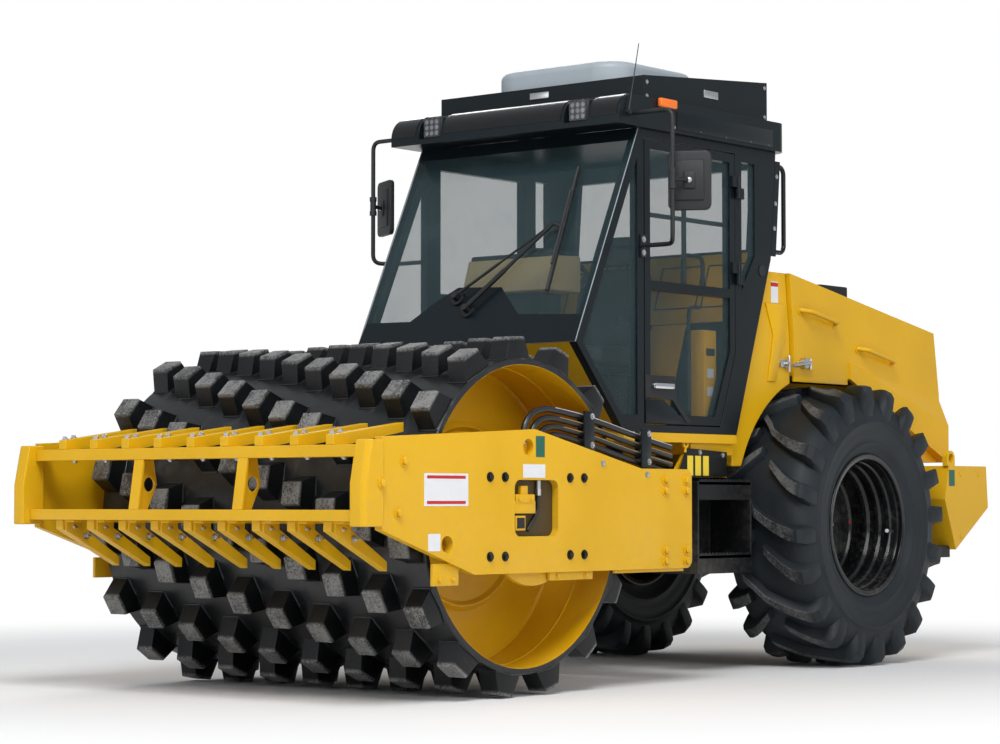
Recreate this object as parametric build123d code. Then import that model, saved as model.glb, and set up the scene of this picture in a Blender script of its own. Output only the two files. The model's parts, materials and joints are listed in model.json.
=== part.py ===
from build123d import *
from math import cos, degrees, radians, sin
import os

# Single drum soil compactor with a padfoot drum, an enclosed cab and two driven rear tyres.
# Millimetres. +X forwards, +Y to the machine's left, +Z up. The origin lies on the floor, at the
# middle of the overall length and width.

# Overall stations along X
DRUM_TO_NOSE = 1254.0          # drum axis to the front face of the front frame
WHEELBASE = 3150.0             # drum axis to rear axle
AXLE_TO_TAIL = 1434.0          # rear axle to the back of the counterweight
DRUM_TO_PIVOT = 1550.0         # drum axis to the steering pin
LENGTH = DRUM_TO_NOSE + WHEELBASE + AXLE_TO_TAIL
NOSE_X = LENGTH / 2
DRUM_X = NOSE_X - DRUM_TO_NOSE
AXLE_X = DRUM_X - WHEELBASE
TAIL_X = AXLE_X - AXLE_TO_TAIL
PIVOT_X = DRUM_X - DRUM_TO_PIVOT

# Fits and gaps
SEAT = 0.3                     # gap of a curved or soft piece to what carries it
RUN = 0.1                      # radial gap of a shaft in its bore
GAP = 12.0                     # gap between pieces that move past each other
PANEL_GAP = 6.0                # gap round a door or a hood
BITE = 1.0                     # overlap of shapes that are joined into one solid
REACH = 20.0                   # how far a cutting shape stands out of what it cuts

# Drum
DRUM_Z = 857.0
DRUM_R = 750.0
DRUM_WALL = 28.0
DRUM_HALF = 1065.0
PAD_RISE = 106.0
PAD_TIP_R = DRUM_R + PAD_RISE
PAD_PITCH = 222.0              # from one ring of pads to the next
PAD_RINGS = 10
PADS_PER_RING = 15
PAD_TIP_HALF = 54.0            # half the pad's tip along the drum
PAD_TIP_DEEP = 52.0            # half the pad's tip round the drum
PAD_FOOT_HALF = 64.0           # half the pad's foot along the drum, at its ridge
PAD_FOOT_EDGE = 52.0           # half the pad's foot along the drum, at its two ends
PAD_FOOT_DEEP = 97.0           # half the pad's foot round the drum
PAD_ROOT = 12.0                # how far a pad reaches into the shell
PAD_START = 16.0               # degrees from +X up to the first pad of the rightmost ring
PAD_TURN = 5.45                # degrees from one ring to the next
WEB_Y = 655.0                  # middle of each web disc inside the drum
WEB_THICK = 30.0
HUB_R = 190.0
HUB_REACH = 110.0              # hub length outside the web disc
STUB_R = 120.0                 # carrier shaft that runs in the hub
FLANGE_R = 330.0               # carrier's mounting plate
FLANGE_THICK = 30.0
MOTOR_R = 230.0                # carrier's motor housing

# Front frame: side plates
PLATE_Y = 1110.0               # inner face of a side plate
PLATE_THICK = 40.0
PLATE_OUT = PLATE_Y + PLATE_THICK
PLATE_FRONT = 1120.0           # front end ahead of the drum axis
PLATE_CREST = 30.0             # where the top edge starts to fall
PLATE_SHOULDER = 820.0         # where the fall ends, behind the drum axis
PLATE_BACK = 1250.0            # rear end behind the drum axis
PLATE_TOP_FRONT = 1213.0
PLATE_TOP_CREST = 1268.0
PLATE_TOP_BACK = 1090.0
PLATE_LOW_FRONT = 800.0
PLATE_LOW_BACK = 590.0
PLATE_LOW_BEND = 477.0         # where the lower edge starts to rise, ahead of the drum axis
PLATE_ROUND = 45.0
WINDOW_BACK = 146.0
WINDOW_FRONT = 185.0
WINDOW_LOW = 762.0
WINDOW_TOP = 1028.0
WINDOW_ROUND = 40.0
LIFT_BORE_R = 39.0
LIFT_TOP_X = 82.0
LIFT_TOP_Z = 1182.0
LIFT_LOW_X = 672.0
LIFT_LOW_Z = 731.0

# Hoses of the drum motor
HOSE_COUNT = 4
HOSE_R = 16.0
HOSE_STEP = 43.0               # from one hose up to the next
HOSE_BEND = 44.0
HOSE_START = 130.0             # first hose behind the drum axis
HOSE_SPREAD = 60.0             # from one port forward to the next
HOSE_RISE = 62.0               # first hose climbs this far above its port
HOSE_END = 1190.0
HOSE_END_INWARD = 30.0
CLAMP_PLACES = (430.0, 900.0)  # behind the drum axis
CLAMP_LIFT = (40.0, 22.0)      # first hose above the plate's edge at each clamp
CLAMP_HALF = 22.0
CLAMP_TALL = 195.0
CLAMP_THICK = 18.0
PORT_TOP = 1200.0
PORT_LOW = 1056.0
PORT_BACK = 155.0
PORT_FRONT = 80.0

# Front frame: noses, beams, posts and scraper bars
NOSE_OUT = 1165.0
NOSE_IN = 1080.0
NOSE_TOP_SET = 40.0            # the top of the nose lies this far behind its front
NOSE_TOP = 1200.0
NOSE_LOW = 815.0
NOSE_ROUND = 28.0
BEAM_TOP_LOW = 1125.0
BEAM_TOP_HIGH = 1180.0
BEAM_TOP_FRONT = 1175.0
BEAM_DEPTH = 90.0
BEAM_LOW_LOW = 838.0
BEAM_LOW_HIGH = 889.0
BEAM_LOW_FRONT = 1212.0
POST_Y = 345.0
POST_WIDE = 62.0
POST_DEEP = 150.0
POST_WALL = 14.0
POST_HOLE_R = 35.0
BAR_COUNT = PAD_RINGS - 1
BAR_WIDE = 50.0
BAR_TALL = 45.0
BAR_TOP_TIP = 702.0            # rear tip of an upper bar, ahead of the drum axis
BAR_TOP_RISE = 65.0
BAR_LOW_TIP = 815.0
BAR_LOW_DROP = 185.0
BAR_LOW_FRONT = 1190.0

# Front frame: rear cross member, tongue and steering pin
CROSS_DEEP = 130.0
CROSS_LOW = 640.0
CROSS_HIGH = 1050.0
TONGUE_R = 120.0
TONGUE_THICK = 40.0
TONGUE_GAP = 3.0               # between a tongue plate and the boss
TONGUE_ROOT = 20.0             # plate on the cross member that carries the lugs
BOSS_R = 95.0
BOSS_LOW = 670.0
BOSS_HIGH = 950.0
PIN_R = 45.0

# Steering cylinders, placed from the steering pin
RAM_FOOT_BACK = 600.0
RAM_FOOT_Y = 240.0
RAM_EYE_AHEAD = 180.0
RAM_EYE_Y = 330.0
RAM_Z = 790.0
RAM_R = 48.0
RAM_ROD_R = 22.0
RAM_BODY = 480.0               # foot pin to the gland
RAM_ROD = 525.0                # eye to the rod's inner end
RAM_EYE_R = 45.0
RAM_EYE_TALL = 56.0
RAM_BORE_R = 25.0
RAM_NECK = 6.0                 # how far a barrel or rod reaches into its eye
RAM_PIN_HEAD = 12.0
LUG_THICK = 24.0
LUG_R = 58.0

# Rear frame
RAIL_IN = 300.0
RAIL_OUT = 400.0
RAIL_HIGH = 1120.0
RAIL_BACK = 915.0              # behind the axle
HITCH_PLATE_BACK = 250.0       # front face of the hitch plate behind the steering pin
HITCH_PLATE_THICK = 50.0
HITCH_PLATE_HALF = 450.0
HITCH_PLATE_LOW = 560.0
NECK_HALF = 80.0
RAM_HOLE_IN = 110.0            # openings in the hitch plate round the cylinders
RAM_HOLE_OUT = 402.0
RAM_HOLE_HALF = 90.0
CROSS_THICK = 60.0
CROSS_SETS = (400.0, 1050.0, 1800.0)   # cross plates behind the hitch plate
CROSS_MARGIN = 30.0
TYRE_R = 795.0
TYRE_IN = 500.0
TYRE_OUT = 1085.0
TYRE_MID = (TYRE_IN + TYRE_OUT) / 2
TYRE_FLATS = 20
LUG_RISE = 55.0                # height of the tread's lugs
TREAD_EDGE = 85.0              # from the tread's edge to the side of the tyre
BULGE_R = 572.0
LUG_PAIRS = 10                 # long and short lugs of one half of the tread
LUG_STARTS = (51.0, 60.0)      # degrees from +X up to the first long lug, outer and inner half
LUG_ROOT = 18.0
LUG_FOOT_GROW = 1.7
LUG_SHOULDER_DROP = 110.0
LUG_SHOULDER_SET = 20.0
# each row is the degrees from the pair's start, the distance outwards from the tyre's middle
# and the lug's half width there
LONG_LUG = ((0.0, -105.0, 22.0), (-18.0, 215.0, 30.0))
SHORT_LUG = ((-25.5, 50.0, 22.0), (-35.5, 215.0, 30.0))
RIM_R = 372.0
RIM_WALL = 14.0
RIM_DISC_Y = 690.0
RIM_DISC_THICK = 24.0
RIM_INSET = 60.0               # rim's edges lie this far inside the tyre's sides
AXLE_BOX = 180.0               # axle housing, square
RAIL_LOW = TYRE_R + AXLE_BOX / 2       # the rails rest on the axle housing
AXLE_HALF = 470.0
GEAR_CASE_R = 195.0
GEAR_CASE_HALF = 230.0
GEAR_CASE_DROP = 20.0
HUB_BOSS_R = 150.0
HUB_NECK_R = 85.0
HUB_END = 800.0
AXLE_STUB_R = 70.0
AXLE_STUB_END = 760.0
ARCH_R = 850.0

# Counterweight behind the tyres
WEIGHT_HALF = 1000.0
WEIGHT_TOP = 1140.0
WEIGHT_LOW = 641.0
WEIGHT_FRONT = 915.0           # its foremost edge behind the axle
WEIGHT_TOP_FRONT = 966.0
WEIGHT_LOW_BACK = 1040.0
WEIGHT_TOP_BACK = 1413.0
WEIGHT_KINK_Z = 891.0
WEIGHT_NOSE_Z = 940.0
EAR_R = 45.0                   # tie-down ears on the weight
EAR_THICK = 32.0
EAR_SET = 25.0
LUG_BORE_R = 28.0
TAIL_BLOCK_IN = 880.0
TAIL_BLOCK_OUT = 960.0
TAIL_BLOCK_LONG = 170.0
TAIL_BLOCK_LOW = 595.0
TAIL_BLOCK_HIGH = 665.0

# Cab
CAB_HALF = 750.0
WALL = 50.0
CAB_FLOOR = 1290.0
CAB_EAVES = 2887.0
CAB_FLOOR_THICK = 50.0
CAB_FOOT_FRONT = 1210.0        # lower front corner behind the drum axis
CAB_SILL_FRONT = 805.0         # foot of the windscreen behind the drum axis
CAB_SILL_Z = 1740.0
CAB_BROW = 1347.0              # top of the windscreen behind the drum axis
CAB_BACK_TOP = 2645.0
CAB_BACK_WAIST = 2592.0
CAB_WAIST_Z = CAB_EAVES - 607.0
CAB_BACK_FOOT = 2245.0
GLASS = 10.0
GLASS_SET = 12.0               # outer face of a pane inside the wall's face
DOOR_FRONT = 1390.0
DOOR_BACK = 2240.0
DOOR_LOW = 1330.0
DOOR_TOP = CAB_EAVES - 47.0
DOOR_KINK_Z = 1747.0           # the door's rear edge slants forwards below this
DOOR_FOOT_BACK = 2090.0
DOOR_FRAME = 55.0
DOOR_RAIL_Z = 2090.0           # top of the rail across the door
DOOR_RAIL_TALL = 50.0
FRONT_GLASS_LOW = CAB_FLOOR + 90.0
FRONT_GLASS_EDGE = 60.0        # wall left round the glass ahead of the door
QUARTER_FRONT = 2302.0         # narrow glass behind the door
QUARTER_BACK = 2433.0
QUARTER_TOP = CAB_EAVES - 87.0
QUARTER_BEND_Z = CAB_WAIST_Z + 10.0
QUARTER_LOW = QUARTER_BEND_Z - 196.0
BACK_GLASS_EDGE = 90.0
BACK_GLASS_LOW = CAB_WAIST_Z + 60.0
BACK_GLASS_HIGH = CAB_EAVES - 90.0

# Hinges of the door
HINGE_R = 16.0
HINGE_SET = 4.0                # gap of a knuckle to the wall
KNUCKLE_TALL = 60.0
HINGE_LEAF = 60.0
LEAF_START = 2.0
HINGE_TOP_DROP = 220.0
HINGE_LOW_RISE = 60.0          # lower hinge above the door's middle

# Operator's seat
SEAT_BACK = 1900.0             # middle of the seat's base behind the drum axis
SEAT_BASE = (180.0, 200.0, 170.0)      # back, front, half width
SEAT_BASE_TALL = 380.0
CUSHION = (240.0, 270.0, 250.0)
CUSHION_TALL = 120.0
REST_LEAN = 100.0              # the backrest's top lies this far behind its foot
REST_THICK = 110.0
REST_TOP = 1130.0
REST_FOOT = 400.0

# Console and steering stand
STAND_FRONT = 1300.0           # foot of the stand behind the drum axis
STAND_BACK = 1500.0
STAND_HALF = 110.0
CONSOLE_FRONT = 1205.0
CONSOLE_BACK = 1500.0
CONSOLE_LEAN = 60.0
CONSOLE_LOW = 2050.0
CONSOLE_TOP_FRONT = 2240.0
CONSOLE_TOP_BACK = 2262.0
CONSOLE_MID = -50.0
CONSOLE_HALF = 300.0
COLUMN_R = 30.0
COLUMN_TOP = (1600.0, 2190.0)  # behind the drum axis, height
COLUMN_FOOT = (1480.0, 2000.0)
WHEEL_R = 190.0
WHEEL_RING_R = 14.0
WHEEL_BOSS_R = 40.0
SPOKE_WIDE = 30.0
SPOKE_THICK = 16.0

# Deck under the cab
DECK_THICK = 60.0
DECK_SET = 30.0
MOUNT_LONG = 120.0
APRON_FRONT_LOW = 1680.0       # side apron of the deck, behind the drum axis
APRON_FRONT_TOP = 1790.0
APRON_BACK = 2190.0
APRON_LOW = 1050.0
APRON_THICK = 20.0

# Access steps
STEP_IN = 500.0
STEP_OUT = 800.0
STEP_LOW = 540.0
STEP_HIGH = 935.0
STEP_TALL = 100.0
STEP_WALL = 30.0
STEP_TYRE_GAP = 40.0
BRACKET_AHEAD = 260.0
BRACKET_LONG = 140.0
BRACKET_TRIM = 40.0

# Roof
ROOF_FRONT = 1120.0
ROOF_BACK = 2720.0
ROOF_HALF = 785.0
ROOF_LOW = CAB_EAVES
ROOF_TALL = 163.0
ROOF_TOP = ROOF_LOW + ROOF_TALL
BROW_ROUND = 120.0
TAIL_ROUND = 90.0
BOX_HALF = 706.0
BOX_FRONT = 1455.0
BOX_BACK = 2625.0
BOX_RISE_FRONT = 135.0
BOX_RISE_BACK = 232.0
COOLER_FRONT = 1560.0
COOLER_BACK = 2360.0
COOLER_HALF = 450.0
COOLER_RISE = 34.0             # above the roof box where the cooler ends
COOLER_CORNER = 180.0
COOLER_ROUND = 40.0

# Lamps, mirrors, rails and antenna
LAMP_IN = 440.0
LAMP_OUT = 570.0
LAMP_DEEP = 78.0
LAMP_LOW = 28.0                # above the roof's underside
LAMP_TALL = 122.0
LAMP_GAP = 14.0
MARKER_FRONT = 1462.0
MARKER_LONG = 150.0
MARKER_OUT = 28.0
MARKER_LOW = 118.0
MARKER_TALL = 50.0
MIRROR_X = 1250.0
MIRROR_Y = 1035.0
MIRROR_TOP = ROOF_LOW + 63.0
MIRROR_LOW = MIRROR_TOP - 685.0
MIRROR_FOOT_X = 1360.0
MIRROR_TUBE_R = 12.0
MIRROR_BEND = 40.0
HEAD_X = 1375.0
HEAD_Y = 1055.0
HEAD_Z = MIRROR_TOP - 345.0
HEAD_WIDE = 190.0
HEAD_TALL = 310.0
HEAD_THICK = 34.0
HEAD_ROUND = 32.0
HEAD_TURN = 29.4               # degrees from facing backwards
RAIL_STRIP_OUT = 12.0
RAIL_STRIP_WIDE = 48.0
RAIL_TOP = CAB_EAVES - 50.0
RAIL_FOOT = CAB_WAIST_Z + 20.0
RAIL_REACH = 100.0
RAIL_TUBE_R = 13.0
RAIL_BEND = 45.0
ANTENNA_X = 1190.0
ANTENNA_FOOT = 28.0
ANTENNA_R = 4.0
ANTENNA_RISE = 370.0
ANTENNA_LEAN = 92.0

# Tank between cab and hood, hood and engine
TANK_HALF = CAB_HALF - WALL
TANK_SET = 40.0                # the tank's foot above the cab floor's level
HOOD_HALF = 720.0
HOOD_FRONT = 2825.0            # behind the drum axis
HOOD_FRONT_LOW = 2870.0
HOOD_FRONT_BEND = 1840.0
HOOD_BACK_TOP = 4430.0
HOOD_BACK_LOW = 4490.0
HOOD_TOP_FRONT = 2220.0
HOOD_TOP_BACK = 1955.0
HOOD_SKIRT = 1640.0
HOOD_LOW = 1165.0
HOOD_WALL = 20.0
SKIRT_RISE = 230.0             # rear corner cut of the hood's side over the tyre
SKIRT_RUN = 210.0
FLARE_HALF = 785.0
FLARE_START = 3450.0
FLARE_LIP = 12.0
CREASE_FRONT = 1745.0          # height of the crease where the flare starts
CREASE_BACK = 1575.0
FLARE_EDGE_BACK = 1390.0
HOOD_PIN_AHEAD = 12.0          # hinge pin ahead of the hood's rear edge
HOOD_PIN_Y = 300.0
HOOD_PIN_HALF = 45.0
HOOD_PIN_R = 12.0
HOOD_PIN_RISE = 20.0
HINGE_BLOCK_HALF = 22.0
HINGE_BLOCK_LONG = 20.0
NOTCH_BACK = 60.0
NOTCH_FRONT = 40.0
NOTCH_RISE = 32.0
ENGINE_HALF = 360.0
ENGINE_FRONT = 2930.0
ENGINE_BACK = 4000.0
ENGINE_TOP = 1800.0
BAY_WALL_Y = 430.0
BAY_WALL_THICK = 20.0
EXHAUST_X = 3600.0
EXHAUST_HALF = 150.0
EXHAUST_IN = 330.0
EXHAUST_OUT = 530.0
EXHAUST_RISE = 70.0
GRILLE_HALF = 520.0
GRILLE_DEEP = 18.0
GRILLE_LOW = HOOD_LOW + 70.0
GRILLE_HIGH = CREASE_BACK - 60.0
GRILLE_EDGE = 30.0
SLAT_COUNT = 7
SLAT_TALL = 14.0


def box(x0, x1, y0, y1, z0, z1):
    """A block given by its corners."""
    size = (abs(x1 - x0), abs(y1 - y0), abs(z1 - z0))
    return Pos((x0 + x1) / 2, (y0 + y1) / 2, (z0 + z1) / 2) * Box(*size)


def slab(points, y0, y1):
    """A side outline of (x, z) corners, drawn at y0 and carried across to y1."""
    face = make_face(Polyline(*[(x, y0, z) for x, z in points], close=True))
    return extrude(face, amount=abs(y1 - y0), dir=(0, 1 if y1 > y0 else -1, 0))


def rod_y(x, z, r, y0, y1):
    """A cylinder along Y."""
    return Pos(x, (y0 + y1) / 2, z) * Rot(90, 0, 0) * Cylinder(r, abs(y1 - y0))


def rod_z(x, y, r, z0, z1):
    """A cylinder along Z."""
    return Pos(x, y, (z0 + z1) / 2) * Cylinder(r, z1 - z0)


def rod_between(a, b, r):
    """A cylinder from point a to point b."""
    start, end = Vector(*a), Vector(*b)
    along = end - start
    plane = Plane(origin=start, z_dir=along)
    return plane * Pos(0, 0, along.length / 2) * Cylinder(r, along.length)


def tube(points, r, bend):
    """A round bar along a path of straight runs and arcs."""
    path = FilletPolyline(*points, radius=bend) if len(points) > 2 else Line(*points)
    ring = Plane(origin=path @ 0, z_dir=path % 0) * Circle(r)
    return sweep(ring, path=path)


def mirrored(solid):
    """The same piece on the machine's other side."""
    return mirror(solid, about=Plane.XZ)


def both(solid):
    """A piece and its mirror image, as two solids of one node."""
    return Compound(children=[solid, mirrored(solid)])


def on_drum(back):
    """Station that lies the given distance behind the drum axis."""
    return DRUM_X - back


def between(low, high, share):
    """The value that lies the given share of the way from low to high."""
    return low + (high - low) * share


HITCH_FRONT = PIVOT_X - HITCH_PLATE_BACK
HITCH_BACK = HITCH_FRONT - HITCH_PLATE_THICK
RAILS_BACK = AXLE_X - RAIL_BACK
CROSS_BACK = on_drum(PLATE_BACK)
HINGE_X = on_drum(DOOR_BACK)
HINGE_Y = CAB_HALF + HINGE_R + HINGE_SET
HOOD_PIN_X = on_drum(HOOD_BACK_LOW) + HOOD_PIN_AHEAD
HOOD_PIN_Z = HOOD_LOW + HOOD_PIN_RISE


def side_plate():
    """Left side plate of the front frame, with its window and two lifting bores."""
    outline = [
        (DRUM_X + PLATE_FRONT, PLATE_LOW_FRONT),
        (DRUM_X + PLATE_FRONT, PLATE_TOP_FRONT),
        (DRUM_X + PLATE_CREST, PLATE_TOP_CREST),
        (on_drum(PLATE_SHOULDER), PLATE_TOP_BACK),
        (CROSS_BACK, PLATE_TOP_BACK),
        (CROSS_BACK, PLATE_LOW_BACK),
        (DRUM_X + PLATE_LOW_BEND, PLATE_LOW_BACK),
    ]
    plate = slab(outline, PLATE_Y, PLATE_OUT)
    plate = fillet(plate.edges().filter_by(Axis.Y).group_by(Axis.X)[0], PLATE_ROUND)
    window = box(on_drum(WINDOW_BACK), DRUM_X + WINDOW_FRONT, PLATE_Y - REACH, PLATE_OUT + REACH,
                 WINDOW_LOW, WINDOW_TOP)
    plate -= fillet(window.edges().filter_by(Axis.Y), WINDOW_ROUND)
    for x, z in ((LIFT_TOP_X, LIFT_TOP_Z), (LIFT_LOW_X, LIFT_LOW_Z)):
        plate -= rod_y(DRUM_X + x, z, LIFT_BORE_R, PLATE_Y - REACH, PLATE_OUT + REACH)
    return plate


def front_nose():
    """Left corner of the front frame, which closes the side plate and carries the beams."""
    back = DRUM_X + PLATE_FRONT
    lean = NOSE_X - NOSE_TOP_SET
    middle = (NOSE_LOW + NOSE_TOP) / 2
    outline = [(back, NOSE_LOW), (back, NOSE_TOP), (lean, NOSE_TOP), (NOSE_X, middle), (NOSE_X, NOSE_LOW)]
    nose = slab(outline, NOSE_IN, NOSE_OUT)
    outer_front = nose.faces().sort_by(Axis.Y)[-1].edges().sort_by(Axis.X)[-2:]
    return fillet(outer_front, NOSE_ROUND)


def beam(front, low, high):
    """A beam across the nose."""
    return box(DRUM_X + front - BEAM_DEPTH, DRUM_X + front, -NOSE_IN, NOSE_IN, low, high)


def front_post():
    """Left post between the beams: a front strip and a web with a hole."""
    top = DRUM_X + BEAM_TOP_FRONT
    low = DRUM_X + BEAM_LOW_FRONT
    mid_z = (BEAM_LOW_HIGH + BEAM_TOP_LOW) / 2
    strip = slab([(low, BEAM_LOW_HIGH), (top, BEAM_TOP_LOW), (top - POST_WALL, BEAM_TOP_LOW),
                  (low - POST_WALL, BEAM_LOW_HIGH)], POST_Y - POST_WIDE / 2, POST_Y + POST_WIDE / 2)
    web = slab([(low - BITE, BEAM_LOW_HIGH), (top - BITE, BEAM_TOP_LOW), (top - BEAM_DEPTH, BEAM_TOP_LOW),
                (low - POST_DEEP, mid_z), (low - BEAM_DEPTH, BEAM_LOW_HIGH)],
               POST_Y - POST_WALL / 2, POST_Y + POST_WALL / 2)
    hole_x = (top + low - POST_DEEP - POST_WALL) / 2
    web -= rod_y(hole_x, mid_z, POST_HOLE_R, POST_Y - POST_WIDE, POST_Y + POST_WIDE)
    return strip + web


def scraper_places():
    """The left and right faces of each scraper bar, halfway between two rings of pads."""
    for i in range(BAR_COUNT):
        middle = (i - (BAR_COUNT - 1) / 2) * PAD_PITCH
        yield middle - BAR_WIDE / 2, middle + BAR_WIDE / 2


def upper_scrapers():
    front, rear = DRUM_X + BEAM_TOP_FRONT, DRUM_X + BAR_TOP_TIP
    top = BEAM_TOP_HIGH + BAR_TALL
    outline = [(front - BEAM_DEPTH, BEAM_TOP_HIGH), (front, BEAM_TOP_HIGH), (front, top),
               (rear, top + BAR_TOP_RISE), (rear, BEAM_TOP_HIGH + BAR_TOP_RISE)]
    return Compound(children=[slab(outline, y0, y1) for y0, y1 in scraper_places()])


def lower_scrapers():
    front, rear = DRUM_X + BAR_LOW_FRONT, DRUM_X + BAR_LOW_TIP
    back = DRUM_X + BEAM_LOW_FRONT - BEAM_DEPTH
    drop = BEAM_LOW_LOW - BAR_LOW_DROP
    outline = [(front, BEAM_LOW_LOW), (back, BEAM_LOW_LOW), (rear, drop), (rear, drop - BAR_TALL),
               (front, BEAM_LOW_LOW - BAR_TALL)]
    return Compound(children=[slab(outline, y0, y1) for y0, y1 in scraper_places()])


def cross_member():
    """Box beam that joins the side plates behind the drum."""
    return box(CROSS_BACK, CROSS_BACK + CROSS_DEEP, -PLATE_Y, PLATE_Y, CROSS_LOW, CROSS_HIGH)


def steering_tongue():
    """Two tongue plates with the steering pin, and the lugs that hold the cylinder eyes."""
    low, high = BOSS_LOW - TONGUE_GAP, BOSS_HIGH + TONGUE_GAP
    body = box(PIVOT_X + TONGUE_R + BOSS_R, CROSS_BACK, -TONGUE_R, TONGUE_R, low - BITE, high + BITE)
    for z0, z1 in ((low - TONGUE_THICK, low), (high, high + TONGUE_THICK)):
        body += box(PIVOT_X, CROSS_BACK, -TONGUE_R, TONGUE_R, z0, z1)
        body += rod_z(PIVOT_X, 0, TONGUE_R, z0, z1)
    body += rod_z(PIVOT_X, 0, PIN_R, low - TONGUE_THICK, high + TONGUE_THICK)
    eye_x = PIVOT_X + RAM_EYE_AHEAD
    eye_low, eye_high = RAM_Z - RAM_EYE_TALL / 2 - TONGUE_GAP, RAM_Z + RAM_EYE_TALL / 2 + TONGUE_GAP
    for y in (-RAM_EYE_Y, RAM_EYE_Y):
        for z0, z1 in ((eye_low - LUG_THICK, eye_low), (eye_high, eye_high + LUG_THICK)):
            body += box(eye_x, CROSS_BACK, y - LUG_R, y + LUG_R, z0, z1)
            body += rod_z(eye_x, y, LUG_R, z0, z1)
        body += rod_z(eye_x, y, RAM_BORE_R, eye_high, eye_high + LUG_THICK + RAM_PIN_HEAD)
        body += box(CROSS_BACK - TONGUE_ROOT, CROSS_BACK, y - LUG_R, y + LUG_R,
                    eye_low - LUG_THICK, eye_high + LUG_THICK)
    return body


def drum_carrier():
    """Left carrier: mounting plate on the side plate, motor housing and the shaft in the drum's hub."""
    hub_end = WEB_Y + WEB_THICK / 2 + HUB_REACH
    flange = rod_y(DRUM_X, DRUM_Z, FLANGE_R, PLATE_Y - FLANGE_THICK, PLATE_Y)
    housing = rod_y(DRUM_X, DRUM_Z, MOTOR_R, hub_end + GAP, PLATE_Y - BITE)
    shaft = rod_y(DRUM_X, DRUM_Z, STUB_R, WEB_Y + WEB_THICK / 2 + GAP, hub_end + GAP + BITE)
    ports = box(DRUM_X - PORT_BACK, DRUM_X + PORT_FRONT, PLATE_Y - FLANGE_THICK, PLATE_Y, PORT_LOW, PORT_TOP)
    return flange + housing + shaft + ports


def pad():
    """One pad of the drum, standing at the top of a drum that is centred on the origin."""
    tips = [(x, y, PAD_TIP_R) for x in (-PAD_TIP_DEEP, PAD_TIP_DEEP) for y in (-PAD_TIP_HALF, PAD_TIP_HALF)]
    root = DRUM_R - PAD_ROOT
    feet = [(x, y, root) for x in (-PAD_FOOT_DEEP, PAD_FOOT_DEEP) for y in (-PAD_FOOT_EDGE, PAD_FOOT_EDGE)]
    ridges = [(0, -PAD_FOOT_HALF, root), (0, PAD_FOOT_HALF, root)]
    return ConvexPolyhedron(tips + feet + ridges)


def drum():
    """Drum shell with its rings of pads, web discs and hubs."""
    shell = rod_y(DRUM_X, DRUM_Z, DRUM_R, -DRUM_HALF, DRUM_HALF)
    shell -= rod_y(DRUM_X, DRUM_Z, DRUM_R - DRUM_WALL, -DRUM_HALF - REACH, DRUM_HALF + REACH)
    one_pad = pad()
    pads = []
    for ring in range(PAD_RINGS):
        y = (ring - (PAD_RINGS - 1) / 2) * PAD_PITCH
        for i in range(PADS_PER_RING):
            from_x = PAD_START - PAD_TURN * ring + i * 360 / PADS_PER_RING
            pads.append(Pos(DRUM_X, y, DRUM_Z) * Rot(0, 90 - from_x, 0) * one_pad)
    shell = shell.fuse(*pads)
    inner, outer = WEB_Y - WEB_THICK / 2, WEB_Y + WEB_THICK / 2
    for side in (-1, 1):
        shell += rod_y(DRUM_X, DRUM_Z, DRUM_R - DRUM_WALL / 2, side * inner, side * outer)
        shell += rod_y(DRUM_X, DRUM_Z, HUB_R, side * WEB_Y, side * (outer + HUB_REACH))
        shell -= rod_y(DRUM_X, DRUM_Z, STUB_R + RUN, side * outer, side * (outer + HUB_REACH + REACH))
    return shell


def ram_line(side):
    """Foot pin and rod eye of a steering cylinder on side -1 or 1, and the way between them."""
    foot = Vector(PIVOT_X - RAM_FOOT_BACK, side * RAM_FOOT_Y, RAM_Z)
    eye = Vector(PIVOT_X + RAM_EYE_AHEAD, side * RAM_EYE_Y, RAM_Z)
    return foot, eye, (eye - foot).normalized()


def ram_eye(place):
    """The eye of a cylinder's end and the bore through it."""
    eye = rod_z(place.X, place.Y, RAM_EYE_R, RAM_Z - RAM_EYE_TALL / 2, RAM_Z + RAM_EYE_TALL / 2)
    return eye, rod_z(place.X, place.Y, RAM_BORE_R + RUN, RAM_Z - RAM_EYE_TALL, RAM_Z + RAM_EYE_TALL)


def ram_barrel(side):
    foot, eye, way = ram_line(side)
    barrel = rod_between(foot + way * (RAM_EYE_R - RAM_NECK), foot + way * RAM_BODY, RAM_R)
    barrel -= rod_between(foot + way * (RAM_EYE_R + GAP), foot + way * (RAM_BODY + REACH), RAM_ROD_R + RUN)
    ring, bore = ram_eye(foot)
    return barrel + ring - bore


def ram_rod(side):
    foot, eye, way = ram_line(side)
    rod = rod_between(eye - way * RAM_ROD, eye - way * (RAM_EYE_R - RAM_NECK), RAM_ROD_R)
    ring, bore = ram_eye(eye)
    return rod + ring - bore


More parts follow.
